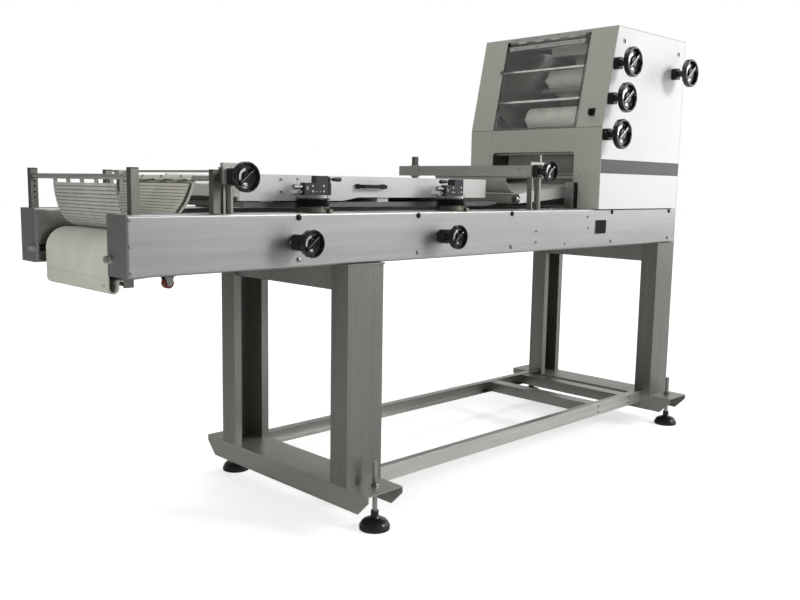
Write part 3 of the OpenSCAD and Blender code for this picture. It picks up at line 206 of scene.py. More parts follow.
class Finish:
    """A material with one shader, and short calls for the nodes that most finishes need."""

    def __init__(self, name, **settings):
        self.material = bpy.data.materials.new(name)
        self.material.use_nodes = True
        self.tree = self.material.node_tree
        self.tree.nodes.clear()
        values = {socket.replace("_", " "): value for socket, value in settings.items()}
        self.shader = self.add("ShaderNodeBsdfPrincipled", values)
        self.add("ShaderNodeOutputMaterial", {0: self.shader.outputs[0]})
        self.place = self.add("ShaderNodeTexCoord").outputs["Object"]

    def add(self, kind, inputs=(), **settings):
        """A node in this finish."""
        return add_node(self.tree, kind, inputs, **settings)

    def noise(self, scale, detail=3, rough=0.6):
        """Noise whose scale is given along each axis, in cells for each metre."""
        fit = self.add("ShaderNodeMapping", {"Vector": self.place, "Scale": scale})
        return self.add("ShaderNodeTexNoise", {"Vector": fit.outputs[0], "Scale": 1, "Detail": detail,
                                               "Roughness": rough}).outputs["Fac"]

    def ramp(self, value, *stops):
        """Colours or greys at places along a value."""
        return ramp(self.tree, value, stops)

    def mix(self, factor, a, b, kind="MIX"):
        """Two colours mixed; each may be a socket or a plain colour."""
        a, b = (c if isinstance(c, bpy.types.NodeSocket) else (*c, 1) for c in (a, b))
        return self.add("ShaderNodeMix", {"Factor": factor, "A": a, "B": b},
                        data_type="RGBA", blend_type=kind).outputs["Result"]

    def within(self, axis, low, high, soft=0.0004):
        """One where the object's coordinate lies between two places on an axis, else nought."""
        along = self.add("ShaderNodeSeparateXYZ", {0: self.place}).outputs[axis]
        return self.product(*[
            self.add("ShaderNodeMapRange", {"Value": along, "From Min": edge - rise,
                                            "From Max": edge + rise}).outputs[0]
            for edge, rise in ((low, soft), (high, -soft))])

    def lighten(self, mask, gain):
        """A brighter colour where a mask is one."""
        now = self.shader.inputs["Base Color"].links[0].from_socket
        brighter = self.mix(1.0, now, (gain, gain, gain), "MULTIPLY")
        self.colour(self.mix(mask, now, brighter))

    def product(self, a, b):
        """Two masks multiplied."""
        return maths(self.tree, "MULTIPLY", a, b)

    def patch(self, mask, colour, rough, metal):
        """Another finish where a mask is one, such as a plastic cap on a steel post."""
        for name, value in (("Base Color", (*colour, 1)), ("Roughness", rough), ("Metallic", metal)):
            socket = self.shader.inputs[name]
            now = socket.links[0].from_socket if socket.links else socket.default_value
            mixed = self.add("ShaderNodeMix", {"Factor": mask, "A": now, "B": value},
                             data_type="RGBA" if name == "Base Color" else "FLOAT")
            join(self.tree, mixed.outputs["Result"], socket)

    def colour(self, socket):
        """Sets the colour."""
        join(self.tree, socket, self.shader.inputs["Base Color"])

    def roughness(self, value, low, high):
        """Roughness from low to high as a value goes from nought to one."""
        node = self.add("ShaderNodeMapRange", {"Value": value, "To Min": low, "To Max": high})
        join(self.tree, node.outputs[0], self.shader.inputs["Roughness"])

    def relief(self, height, strength, depth, edge=0.0012):
        """Bump from a height value, over edges that look rounded."""
        node = self.add("ShaderNodeBump", {"Height": height, "Strength": strength, "Distance": depth})
        if edge:
            round_off = self.add("ShaderNodeBevel", {"Radius": edge}, samples=4)
            join(self.tree, round_off.outputs[0], node.inputs["Normal"])
        join(self.tree, node.outputs[0], self.shader.inputs["Normal"])


print("finish helpers ready")

# %% [markdown]
# Brushed stainless steel shows three things at once: fine scratches along the grain, broad
# cloudy patches where the belt sander pressed harder, and a soft gloss. The scratches are noise
# with a tiny cell across the grain and a long one along it. Each part has its own grain.

# %% Steel


def brushed(name, along, dark, light, rough=(0.3, 0.46), patch=1.0, metal=1.0):
    """Brushed steel with its grain along one axis."""
    fin = Finish(name, Metallic=metal)
    fine = [900, 900, 900]
    fine[along] = 9
    streak = [70, 70, 70]
    streak[along] = 1.6
    cloud = [5, 5, 5]
    cloud[along] = 1.1
    scratch = fin.noise(fine, 2, 0.7)
    bands = fin.noise(streak, 3, 0.6)
    clouds = fin.noise(cloud, 3, 0.55)
    tint = fin.ramp(bands, (0.3, dark), (0.7, light))
    cloudy = fin.ramp(clouds, (0.35, [c * 0.62 for c in dark]),
                      (0.68, [min(1, c * 1.12) for c in light]))
    worn = fin.mix(0.35 * patch, tint, cloudy)
    scratched = fin.ramp(scratch, (0.25, [c * 0.55 for c in dark]), (0.75, light))
    fin.colour(fin.mix(0.22, worn, scratched))
    fin.roughness(bands, *rough)
    fin.relief(scratch, 0.25, 0.0002)
    return fin


beam_steel = brushed("beam_steel", 0, (0.43, 0.43, 0.425), (0.5, 0.5, 0.495), (0.36, 0.44), 0.5)
leg_steel = brushed("leg_steel", 2, (0.225, 0.223, 0.205), (0.295, 0.292, 0.27), (0.34, 0.48), 0.9, 0.8)
rail_steel = brushed("rail_steel", 0, (0.3, 0.295, 0.275), (0.44, 0.435, 0.415), (0.32, 0.48))
FRONT_RAIL = (-0.5, -0.3088)
# Painted light: the front rail's face is lightened where the beam's shadow leaves it darker under the lamps.
rail_steel.lighten(rail_steel.within("Y", *FRONT_RAIL), 1.9)
cross_steel = brushed("cross_steel", 1, (0.3, 0.297, 0.268), (0.42, 0.416, 0.38), (0.34, 0.5),
                      metal=0.65)
post_steel = brushed("post_steel", 2, (0.27, 0.265, 0.25), (0.4, 0.395, 0.375), (0.32, 0.46))
sling_steel = brushed("sling_steel", 2, (0.22, 0.213, 0.19), (0.32, 0.31, 0.28), (0.32, 0.46))
crossbar_steel = brushed("crossbar_steel", 1, (0.44, 0.43, 0.39), (0.56, 0.55, 0.505),
                         (0.28, 0.42), metal=0.55)
dull_steel = brushed("dull_steel", 0, (0.15, 0.142, 0.118), (0.27, 0.258, 0.22), (0.38, 0.55))
bar_steel = brushed("bar_steel", 1, (0.46, 0.455, 0.43), (0.6, 0.595, 0.565), (0.2, 0.32), metal=0.75)
bright_steel = brushed("bright_steel", 1, (0.52, 0.52, 0.51), (0.7, 0.7, 0.69), (0.16, 0.28), 0.5)
silver = brushed("silver", 1, (0.7, 0.7, 0.69), (0.82, 0.82, 0.81), (0.18, 0.3), 0.3)
front_steel = brushed("front_steel", 1, (0.3, 0.295, 0.28), (0.42, 0.415, 0.4), (0.3, 0.4), 0.4)
inner_steel = brushed("inner_steel", 0, (0.2, 0.2, 0.19), (0.3, 0.3, 0.285), (0.36, 0.5))
plunger_steel = brushed("plunger_steel", 1, (0.24, 0.24, 0.23), (0.36, 0.36, 0.35), (0.34, 0.5), 0.5)
strip_steel = brushed("strip_steel", 1, (0.56, 0.56, 0.55), (0.68, 0.68, 0.67), (0.26, 0.38), 0.4, 0.45)
print("fifteen steels")

# %% [markdown]
# The head's front is a grey-brown structured paint, a fine speckle with a slight orange-peel
# relief. The sides are smooth white paint with one grey stripe. The stripe is part of the
# paint, so it is a band of the object's height in the same material.

# %% Paints


def painted(name, base, speck, grain, depth, rough, coat=0.0):
    """Paint with a speckle, a faint cloudiness and an orange-peel relief."""
    fin = Finish(name, Coat_Weight=coat, Coat_Roughness=0.12)
    dots = fin.noise((grain, grain, grain), 2, 0.5)
    haze = fin.noise((6, 6, 6), 3, 0.5)
    tint = fin.ramp(dots, (0.36, [c * (1 - speck) for c in base]),
                    (0.62, [min(1, c * (1 + speck * 0.6)) for c in base]))
    fin.colour(fin.mix(0.18, tint, fin.ramp(haze, (0.3, [c * 0.86 for c in base]), (0.7, base))))
    fin.roughness(dots, *rough)
    fin.relief(fin.noise((grain * 0.5,) * 3, 2, 0.5), 0.3, depth)
    return fin


taupe_paint = painted("taupe_paint", (0.5, 0.495, 0.435), 0.13, 700, 0.0003, (0.42, 0.55))
STRIPE = (1.163, 1.221)
side_paint = painted("side_paint", (0.86, 0.86, 0.855), 0.015, 300, 0.0001, (0.34, 0.44), 0.12)
side_paint.shader.inputs["Specular IOR Level"].default_value = 0.3
band = side_paint.within("Z", *STRIPE)
white = side_paint.shader.inputs["Base Color"].links[0].from_socket
grey_speck = side_paint.ramp(side_paint.noise((400, 400, 400), 2), (0.3, (0.046, 0.048, 0.046)),
                             (0.7, (0.06, 0.062, 0.059)))
side_paint.colour(side_paint.mix(band, white, grey_speck))
board_plastic = painted("board_plastic", (0.8, 0.8, 0.785), 0.03, 260, 0.00012, (0.34, 0.46))
grey_plate = painted("grey_plate", (0.18, 0.185, 0.18), 0.12, 500, 0.0002, (0.35, 0.5))
print("taupe, white with a stripe, board white and plate grey")

# %% [markdown]
# Handwheels are moulded from glossy black plastic, the housings and pads from a duller one, and
# the lifting blocks are dark grey anodised metal with fine specks. All three get a fingerprint
# haze in their roughness, because a perfectly even black looks like a hole.

# %% Plastics, rubber and glass


def moulded(name, base, rough, grain=350, depth=0.0001, coat=0.0, edge=0.0015, bump=0.35):
    """Moulded plastic or rubber with a fine skin and handled, uneven gloss."""
    fin = Finish(name, Coat_Weight=coat, Coat_Roughness=0.05, Specular_IOR_Level=0.35)
    skin = fin.noise((grain,) * 3, 3, 0.55)
    touch = fin.noise((38, 38, 38), 3, 0.6)
    fin.colour(fin.ramp(touch, (0.3, base), (0.75, [c * 1.35 + 0.004 for c in base])))
    fin.roughness(touch, *rough)
    fin.relief(skin, bump, depth, edge)
    return fin


wheel_black = moulded("wheel_black", (0.006, 0.006, 0.006), (0.08, 0.2), coat=0.3, edge=0.0018,
                      bump=0.06)
housing_black = moulded("housing_black", (0.009, 0.009, 0.009), (0.24, 0.42), bump=0.2)
pad_black = moulded("pad_black", (0.01, 0.01, 0.011), (0.2, 0.4), coat=0.2)
block_grey = moulded("block_grey", (0.026, 0.029, 0.033), (0.4, 0.55), 900, 0.00015)
rubber_black = moulded("rubber_black", (0.013, 0.013, 0.014), (0.32, 0.55), 200, 0.0002)
plate_black = moulded("plate_black", (0.008, 0.008, 0.008), (0.5, 0.7), bump=0.1)
plate_black.shader.inputs["Specular IOR Level"].default_value = 0.1
# White finish for the lifting blocks' screws and dots: a painted highlight that stands in for the glint on
# their metal heads.
glint_white = moulded("glint_white", (0.66, 0.66, 0.65), (0.3, 0.45), bump=0.1)
castor_red = moulded("castor_red", (0.13, 0.028, 0.022), (0.35, 0.55))
roller_cream = moulded("roller_cream", (0.36, 0.355, 0.315), (0.42, 0.58), 500, 0.0001)

clear = Finish("clear_pane", Transmission_Weight=1.0, IOR=1.45)
smear = clear.noise((7, 7, 7), 4, 0.6)
clear.colour(clear.ramp(smear, (0.3, (0.9, 0.92, 0.91)), (0.7, (0.96, 0.97, 0.965))))
clear.roughness(smear, 0.0, 0.05)
# Direct light passes the pane, so that the rollers behind it aren't left in the dark.
passes = clear.add("ShaderNodeMixShader", {
    0: clear.add("ShaderNodeLightPath").outputs["Is Shadow Ray"], 1: clear.shader.outputs[0],
    2: clear.add("ShaderNodeBsdfTransparent").outputs[0]})
ending = next(n for n in clear.tree.nodes if n.type == "OUTPUT_MATERIAL")
join(clear.tree, passes.outputs[0], ending.inputs[0])
print("plastics, rubber and a clear pane")

# %% [markdown]
# Belts are woven cotton with a pale coating: a fine two-way weave, faint stains and no gloss.
# The weave is two sine-like waves across each other; a Wave texture on each axis gives them.

# %% Cloth


def woven(name, base, stain, relief=0.5):
    """Coated canvas: threads both ways, stains and a soft sheen."""
    fin = Finish(name, Sheen_Weight=0.15, Sheen_Roughness=0.5)
    threads = []
    for direction in "XY":
        wave = fin.add("ShaderNodeTexWave", {"Vector": fin.place, "Scale": 55, "Distortion": 0.8,
                                             "Detail": 1}, bands_direction=direction)
        threads.append(wave.outputs["Fac"])
    weave = fin.product(*threads)
    spots = fin.noise((9, 14, 9), 4, 0.6)
    cloth = fin.ramp(weave, (0.0, [c * 0.93 for c in base]), (0.7, base))
    fin.colour(fin.mix(0.55, cloth, fin.ramp(spots, (0.32, stain), (0.66, base))))
    fin.roughness(spots, 0.7, 0.85)
    fin.relief(weave, relief, 0.0002, 0)
    return fin


belt_cloth = woven("belt_cloth", (0.6, 0.595, 0.52), (0.5, 0.49, 0.415))
canvas_cloth = woven("canvas_cloth", (0.66, 0.655, 0.57), (0.55, 0.54, 0.455))
rib_cloth = woven("rib_cloth", (0.64, 0.63, 0.56), (0.46, 0.45, 0.39), relief=0.7)
grey_rib = woven("grey_rib", (0.46, 0.455, 0.42), (0.3, 0.295, 0.27), relief=0.7)
lap_cloth = woven("lap_cloth", (0.57, 0.565, 0.49), (0.48, 0.47, 0.395))
darker_cloth = woven("darker_cloth", (0.36, 0.352, 0.31), (0.27, 0.262, 0.225))
# Near-black cloth under the slats of the mats: painted shade for the gaps between the slats.
gap_shade_cloth = woven("gap_shade_cloth", (0.17, 0.166, 0.14), (0.11, 0.107, 0.09))
shade_rib = woven("shade_rib", (0.25, 0.247, 0.225), (0.16, 0.157, 0.14), relief=0.7)
print("eight cloths")

# %% [markdown]
# The frame's solids whose shape is right stay and take these finishes. One node holds bolts of
# two kinds: black caps near the beams' top and plain steel below, so its material looks at the
# height. Other materials pick a part of their node in the same way: the guard of the discharge
# frame, the caps of the posts, the white arms and the black handle of the pressure board, the
# steel studs of the feet and the seam where the head's front is folded.

# %% Finishes on the frame's solids


def dress(finish, *names):
    """Puts one finish on CAD nodes."""
    for name in names:
        mesh = nodes[name].data
        mesh.materials.clear()
        mesh.materials.append(finish.material)
        for face in mesh.polygons:
            face.material_index = 0


bolts = Finish("bolt_finish", Metallic=1.0)
speck = bolts.noise((260, 260, 260), 2)
steel_tint = bolts.ramp(speck, (0.3, (0.22, 0.22, 0.21)), (0.7, (0.42, 0.42, 0.41)))
cap = bolts.product(bolts.within("Z", 0.99, 1.01), bolts.within("X", -1.3, 2.0))
bolts.colour(bolts.mix(cap, steel_tint, (0.02, 0.02, 0.02)))
bolts.lighten(bolts.within("X", -1.5, -1.384), 1.9)
bolts.roughness(speck, 0.25, 0.45)
bolts.relief(speck, 0.2, 0.0001, 0.0008)

dress(beam_steel, "beam_front", "beam_rear")
dress(leg_steel, "legs_left", "legs_right")
dress(rail_steel, "frame_rails")
dress(cross_steel, "base_channels")
dress(inner_steel, "slider_bed", "head_cheeks", "castor_bracket")
CAP_LOW, HOUSING_FACE = 1.1308, -0.3278
sling_steel.patch(sling_steel.within("Z", CAP_LOW, 1.2), (0.02, 0.02, 0.02), 0.4, 0)
crossbar_steel.patch(crossbar_steel.within("Y", -0.4, HOUSING_FACE), (0.01, 0.01, 0.01), 0.34, 0)
guard = brushed("discharge_steel", 0, (0.56, 0.56, 0.55), (0.72, 0.72, 0.71), (0.32, 0.42), 1.0)
guard.patch(guard.within("X", 0.686, 0.7095), (0.013, 0.013, 0.013), 0.38, 0)
ARM_HALF, HANDLE, BLOCK_RING = 0.0215, (-0.56, -0.34), (1.0572, 1.0658)
for arm_x in (-0.756, -0.133):
    for low, high in ((-0.2688, -0.2), (0.2, 0.2688)):
        arm = block_grey.product(block_grey.within("Y", low, high),
                                 block_grey.within("X", arm_x - ARM_HALF, arm_x + ARM_HALF))
        block_grey.patch(arm, (0.62, 0.62, 0.61), 0.42, 0)
block_grey.patch(block_grey.within("X", *HANDLE), (0.01, 0.01, 0.01), 0.26, 0)
block_grey.patch(block_grey.within("Z", *BLOCK_RING), (0.42, 0.42, 0.41), 0.3, 1)
pad_black.patch(pad_black.within("Z", 0.0602, 0.4), (0.34, 0.335, 0.32), 0.3, 1)
seam = taupe_paint.product(taupe_paint.within("Z", 1.3514, 1.3536),
                           taupe_paint.within("X", 0.6, 0.8))
taupe_paint.patch(seam, (0.14, 0.138, 0.12), 0.6, 0)
dress(sling_steel, "sling_posts")
dress(bar_steel, "sling_bars", "head_bars")
dress(crossbar_steel, "crossbar_near", "crossbar_far")
dress(bright_steel, "nose_roller", "drive_roller", "discharge_nose", "discharge_drive")
dress(plunger_steel, "plunger_left", "plunger_right")
dress(post_steel, "crossbar_columns")
dress(dull_steel, "lift_bases")
dress(bolts, "fasteners")
dress(taupe_paint, "head_front", "head_cover")
dress(side_paint, "head_side_front", "head_side_rear")
dress(board_plastic, "pressure_board")
dress(grey_plate, "press_plate")
dress(block_grey, "board_fittings")
dress(wheel_black, *[name for name in nodes if name.startswith("wheel_")])
dress(housing_black, "indicator_housings", "clamp_lever_left", "clamp_lever_right", "main_switch")
dress(pad_black, *[name for name in nodes if name.startswith("foot_")])
dress(castor_red, "castor_wheel")
dress(roller_cream, *[name for name in nodes if name.startswith("roller_")])
dress(guard, "discharge_frame")
dress(clear, "window_pane")
dress(belt_cloth, "conveyor_belt", "discharge_belt")
dress(canvas_cloth, "sling_canvas")
dress(rib_cloth, "sling_mat")
dress(grey_rib, "curling_mat", "inner_mat")
dress(rubber_black, "lift_bellows")
print("dressed", len(nodes), "solids")

# %% [markdown]
# The pieces below are built from a few moves: a profile is spun into a turned part, a block gets
# its edges bevelled, and a line in the XZ plane is swept across the belt's width into a sheet.
# A sheet remembers how far along its line each point is, and its UV map is in metres.

# %% Helpers for pieces


def merge(bm, part, matrix=None, material=0):
    """Moves a part into place and adds it to a mesh."""
    if matrix is not None:
        bmesh.ops.transform(part, matrix=matrix, verts=part.verts)
    for face in part.faces:
        face.material_index = material
    mesh = bpy.data.meshes.new("part")
    part.to_mesh(mesh)
    part.free()
    bm.from_mesh(mesh)
    bpy.data.meshes.remove(mesh)


def piece(name, bm, materials, body="machine", angle=35):
    """The mesh becomes a piece that rides on a body. Without a body it is blended later."""
    mesh = bpy.data.meshes.new(name)
    bm.to_mesh(mesh)
    bm.free()
    for finish in materials:
        mesh.materials.append(finish.material)
    mesh.shade_smooth()
    mesh.set_sharp_from_angle(angle=math.radians(angle))
    obj = add_object(name, mesh)
    if body:
        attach(obj, body)
    return obj


def settle(obj):
    """The modifiers' result becomes the mesh."""
    graph = bpy.context.evaluated_depsgraph_get()
    mesh = bpy.data.meshes.new_from_object(obj.evaluated_get(graph))
    obj.modifiers.clear()
    obj.data = mesh
    return obj


def lathe(profile, steps=32):
    """A turned part: (radius, height) points spun round Z."""
    part = bmesh.new()
    points = [part.verts.new((radius, 0, height)) for radius, height in profile]
    lines = [part.edges.new(pair) for pair in zip(points, points[1:])]
    bmesh.ops.spin(part, geom=points + lines, cent=(0, 0, 0), axis=(0, 0, 1), angle=math.tau,
                   steps=steps)
    bmesh.ops.remove_doubles(part, verts=part.verts, dist=1e-6)
    bmesh.ops.recalc_face_normals(part, faces=part.faces)
    return part


def rod(half, r, steps):
    """A round bar with bevelled ends, `half` to each side of the middle."""
    return lathe([(0, half), (r - 0.001, half), (r, half - 0.001), (r, 0.001 - half), (r - 0.001, -half),
                  (0, -half)], steps)


def block(size, bevel=0.0006, segments=1):
    """A box with bevelled edges."""
    part = bmesh.new()
    bmesh.ops.create_cube(part, size=1)
    bmesh.ops.scale(part, vec=size, verts=part.verts)
    bmesh.ops.bevel(part, geom=part.edges[:], offset=bevel, segments=segments, affect="EDGES",
                    profile=0.5, material=-1)
    return part


def at(x, y, z, facing=(0, 0, 1)):
    """A matrix that puts a part's origin at a point and its Z along a direction."""
    facing = Vector(facing).to_track_quat("Z", "Y")
    return Matrix.Translation((x, y, z)) @ facing.to_matrix().to_4x4()


FRONT, LEFT = (0, -1, 0), (-1, 0, 0)


def screw_head(diameter, high, socket=True):
    """A button head with a rounded rim and a dished socket."""
    r = diameter / 2
    mouth = [(0, high * 0.35), (r * 0.34, high * 0.35), (r * 0.42, high)] if socket else [(0, high)]
    return lathe(mouth + [(r * 0.7, high), (r * 0.93, high * 0.7), (r, high * 0.3), (r, -0.0006),
                          (0, -0.0006)], 16)


def screws(name, spots, diameter, high, facing, material, body="machine", socket=True):
    """Screw heads of one size on a face."""
    bm = bmesh.new()
    for spot in spots:
        merge(bm, screw_head(diameter, high, socket), at(*spot, facing))
    return piece(name, bm, [material], body)


def strip(line, half, cuts, closed=False):
    """A sheet one face thick along (x, z) points, `half` to each side of the middle."""
    bm = bmesh.new()
    run = bm.verts.layers.float.new("run")
    row, far = [], 0.0
    for k, (x, z) in enumerate(line):
        far += math.dist(line[k - 1], line[k]) if k else 0
        point = bm.verts.new((x, -half, z))
        point[run] = far
        row.append(point)
    pairs = list(zip(row, row[1:])) + ([(row[-1], row[0])] if closed else [])
    edge = [bm.edges.new(pair) for pair in pairs]
    total = far + (math.dist(line[-1], line[0]) if closed else 0)
    for _ in range(cuts):
        made = bmesh.ops.extrude_edge_only(bm, edges=edge)["geom"]
        fresh = {item for item in made if isinstance(item, bmesh.types.BMVert)}
        bmesh.ops.translate(bm, verts=list(fresh), vec=(0, 2 * half / cuts, 0))
        edge = [item for item in made
                if isinstance(item, bmesh.types.BMEdge) and all(end in fresh for end in item.verts)]
    metres = bm.loops.layers.uv.new("metres")
    for face in bm.faces:
        runs = [corner[run] for corner in face.verts]
        seam = closed and max(runs) - min(runs) > total / 2
        for loop in face.loops:
            gone = loop.vert[run]
            loop[metres].uv = (loop.vert.co.y, gone + (total if seam and gone < total / 2 else 0))
    bmesh.ops.recalc_face_normals(bm, faces=bm.faces)
    return bm, total


def thicken(obj, thickness):
    """A sheet gets its thickness, half to each side, as a finished mesh."""
    solid = obj.modifiers.new("thickness", "SOLIDIFY")
    solid.thickness, solid.offset, solid.use_even_offset = thickness, 0, True
    settle(obj)
    obj.data.shade_smooth()
    obj.data.set_sharp_from_angle(angle=math.radians(40))
    return obj


def bezier(a, b, c, d, t):
    """A point on a cubic curve."""
    return tuple((1 - t) ** 3 * p + 3 * (1 - t) ** 2 * t * q + 3 * (1 - t) * t * t * r + t ** 3 * s
                 for p, q, r, s in zip(a, b, c, d))


def arc(x, z, radius, start, end, steps):
    """Points of an arc, in degrees."""
    turns = [math.radians(start + (end - start) * k / steps) for k in range(steps + 1)]
    return [(x + radius * math.cos(a), z + radius * math.sin(a)) for a in turns]


def beside(line, off):
    """The line moved sideways, to the left of its direction."""
    out = []
    for k, (x, z) in enumerate(line):
        ahead, back = line[min(k + 1, len(line) - 1)], line[max(k - 1, 0)]
        dx, dz = ahead[0] - back[0], ahead[1] - back[1]
        long = math.hypot(dx, dz)
        out.append((x - off * dz / long, z + off * dx / long))
    return out


def stations(line, pitch, start, end):
    """Places at an even pitch along a line: (x, z, direction x, direction z)."""
    out, far, due = [], 0.0, start
    total = sum(math.dist(a, b) for a, b in zip(line, line[1:]))
    for a, b in zip(line, line[1:]):
        long = math.dist(a, b)
        while due <= far + long and due <= total - end:
            t = (due - far) / long
            out.append((a[0] + (b[0] - a[0]) * t, a[1] + (b[1] - a[1]) * t,
                        (b[0] - a[0]) / long, (b[1] - a[1]) / long))
            due += pitch
        far += long
    return out


def slats(line, off, pitch, size, half, start=0.004, end=0.004, ragged=0.0015):
    """Thin ribs across a sheet, at an even pitch, with slightly uneven ends."""
    bm = bmesh.new()
    for x, z, dx, dz in stations(line, pitch, start, end):
        shift = random.uniform(-ragged, ragged) * 0.5
        long = 2 * half - random.uniform(0, ragged)
        seat = Matrix(((dx, 0, -dz, x - off * dz), (0, 1, 0, shift), (dz, 0, dx, z + off * dx),
                       (0, 0, 0, 1)))
        merge(bm, block((size[0], long, size[1]), size[1] * 0.36, 2), seat)
    return bm


print("piece helpers ready")

# %% [markdown]
# The main belt runs over the table, round the nose, down into a slack loop and back over a thin
# guide rod. It is one closed strip of 3 mm cloth. Its joint hangs at the bottom of the loop, a
# strip of the same cloth with a wire staple.

# %% The long belt
BELT_T, SEAT = 0.003, 0.0003
NOSE, NOSE_R = (-1.304, 0.8987), 0.06
DRIVE, DRIVE_R = (1.215, 0.9167), 0.042
GUIDE, GUIDE_R = (-1.33, 0.8274), 0.006
TURN, TURN_R = (-1.3518, 0.8167), 0.0122
SKID_X = -0.985


def loop_line(off):
    """The belt's loop, `off` outside the rollers' faces."""
    line = arc(*DRIVE, DRIVE_R + off, -90, 90, 32)
    line += arc(*NOSE, NOSE_R + off, 90, 180, 24)
    line += [(NOSE[0] - NOSE_R - off, NOSE[1] - 0.041)]
    line += arc(*TURN, TURN_R + off, 180, 360, 24)
    line += arc(*GUIDE, GUIDE_R + 2 * SEAT + BELT_T - off, 180, 96, 12)
    foot, low = GUIDE[0] + 0.004, GUIDE[1] + GUIDE_R + 2 * SEAT + BELT_T
    back = DRIVE[1] - DRIVE_R - SEAT
    for k in range(11):
        t = 0.15 + 0.085 * k
        line.append((foot + (SKID_X - foot) * t, low + (back - low) * t ** 1.4 - off))
    return line


bm, belt_long = strip(loop_line(SEAT + BELT_T / 2), 0.196, 8, closed=True)
belt = thicken(piece("belt", bm, [belt_cloth]), BELT_T - 0.0002)
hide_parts("conveyor_belt")

lap_line = arc(*TURN, TURN_R + SEAT + BELT_T + 0.0009, 196, 330, 18)
lap_line.insert(0, (lap_line[0][0] - 0.0002, lap_line[0][1] + 0.03))
bm, lap_long = strip(lap_line, 0.193, 48)
run = bm.verts.layers.float["run"]
for point in bm.verts:
    if point[run] < 0.001 or point[run] > lap_long - 0.001:
        point.co.z += 0.0014 * math.sin(point.co.y * 410) + 0.0006 * math.sin(point.co.y * 930)
lap = thicken(piece("belt_joint", bm, [lap_cloth]), 0.0012)

bm = bmesh.new()
for y in (-0.178, -0.171, -0.164):
    merge(bm, block((0.0008, 0.0008, 0.011), 0.0003, 2), at(TURN[0] - 0.0172, y, 0.822, (0, 0, 1)))
staple = piece("belt_staple", bm, [bright_steel])
print("belt", round(belt_long, 3), "m round, joint strip", round(lap_long, 3), "m")

# %% [markdown]
# The short discharge belt climbs six degrees into the head. It is the same cloth in a darker colour.

# %% The discharge belt
RISE = math.radians(6)
DIS, DIS_R, DIS_L, DIS_T = (0.351, 1.053), 0.017, 0.69, 0.002


def climbed(u, v):
    """A point of the discharge conveyor from its own coordinates."""
    return (DIS[0] + u * math.cos(RISE) - v * math.sin(RISE),
            DIS[1] + u * math.sin(RISE) + v * math.cos(RISE))


off = DIS_R + SEAT + DIS_T / 2
own = arc(0, 0, off, 270, 90, 24) + [(DIS_L * k / 6, off) for k in range(1, 6)]
own += arc(DIS_L, 0, off, 90, -90, 24) + [(DIS_L * k / 6, -off) for k in range(5, 0, -1)]
bm, short_long = strip([climbed(u, v) for u, v in own], 0.19, 6, closed=True)
short_belt = thicken(piece("discharge_cloth", bm, [darker_cloth]), DIS_T - 0.0002)
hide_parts("discharge_belt")
print("discharge belt", round(short_long, 3), "m round")

# %% [markdown]
# The outfeed sling is a mat of sewn slats that hangs from hooks on one bar, lies on the belt and
# rises to the other bar. Outside it on the far wall is a plain canvas, whose flap wraps over the
# bar and is held by eyelets. The hem droops a little between its hooks.

# %% The sling
BAR, BAR_R = (-1.11, 1.11), 0.0075
SLING_A, SLING_B = (-1.3412, 1.092), (-1.1022, 1.11)
LOW = 0.9637
HOOK_STEP, EYE_STEP = 0.088, 0.11
flat_start, flat_end = (SLING_A[0] + 0.078, LOW), (SLING_B[0] - 0.146, LOW)
mat_end = (SLING_B[0] - 0.012, SLING_B[1] - 0.0105)
mat_line = [bezier(SLING_A, (SLING_A[0] + 0.006, SLING_A[1] - 0.08), (SLING_A[0] + 0.03, LOW),
                   flat_start, k / 40) for k in range(41)]
mat_line += [bezier(flat_end, (flat_end[0] + 0.05, LOW), (flat_end[0] + 0.116, LOW + 0.067),
                    mat_end, k / 40) for k in range(41)]


def droop(bm, edge_run, inward, step, shift, deep):
    """Lets a hem sag between its hooks, less and less away from the hem."""
    run = bm.verts.layers.float["run"]
    for point in bm.verts:
        away = (point[run] - edge_run) * inward
        if away < 0.03:
            near = 1 - away / 0.03
            point.co.z -= deep * near * abs(math.sin(math.pi * (point.co.y / step - shift)))


bm, mat_long = strip(beside(mat_line, 0.0031), 0.195, 64)
droop(bm, 0, 1, HOOK_STEP, 0, 0.0028)
droop(bm, mat_long, -1, EYE_STEP, -0.33, 0.0022)
# The sheet under the slats is near black: painted shade that shows in the gaps between them.
mat = thicken(piece("sling_cloth", bm, [gap_shade_cloth]), 0.0011)
SLAT_PITCH, SLAT_HALF = 0.0105, 0.1945
bm = slats(mat_line, 0.0017, SLAT_PITCH, (0.0084, 0.0024), SLAT_HALF)
outer = piece("sling_slats_outer", bm, [grey_rib])
bm = slats(mat_line, 0.0046, SLAT_PITCH, (0.0086, 0.0026), SLAT_HALF)
inner = piece("sling_slats_inner", bm, [rib_cloth])
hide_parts("sling_mat")

canvas_line = [bezier(flat_end, (flat_end[0] + 0.053, LOW), (flat_end[0] + 0.128, LOW + 0.071),
                      (SLING_B[0] - 0.0068, SLING_B[1] - 0.01), k / 30) for k in range(30)]
canvas_line += arc(*BAR, BAR_R + SEAT, -60, 180, 24) + [(BAR[0] - BAR_R - SEAT, BAR[1] - 0.004)]
canvas_line = beside(canvas_line, -0.0007)
bm, canvas_long = strip(canvas_line, 0.205, 82)
run = bm.verts.layers.float["run"]
FLAP = 0.016
for point in bm.verts:
    to_flap = point[run] - (canvas_long - FLAP)
    if to_flap > 0:
        wave = math.sin(point.co.y * 71 + 0.6) + 0.5 * math.sin(point.co.y * 173)
        point.co.z += to_flap / FLAP * 0.0016 * wave
        point.co.x -= to_flap / FLAP * 0.001 * (1 + math.sin(point.co.y * 97 + 1))
    elif point[run] > 0.03:
        edge = max(0, abs(point.co.y) - 0.15) / 0.055
        point.co.x += 0.0016 * edge * math.sin(point[run] * 60 + (2 if point.co.y > 0 else 0))
canvas = thicken(piece("sling_backing", bm, [canvas_cloth]), 0.0012)
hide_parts("sling_canvas")

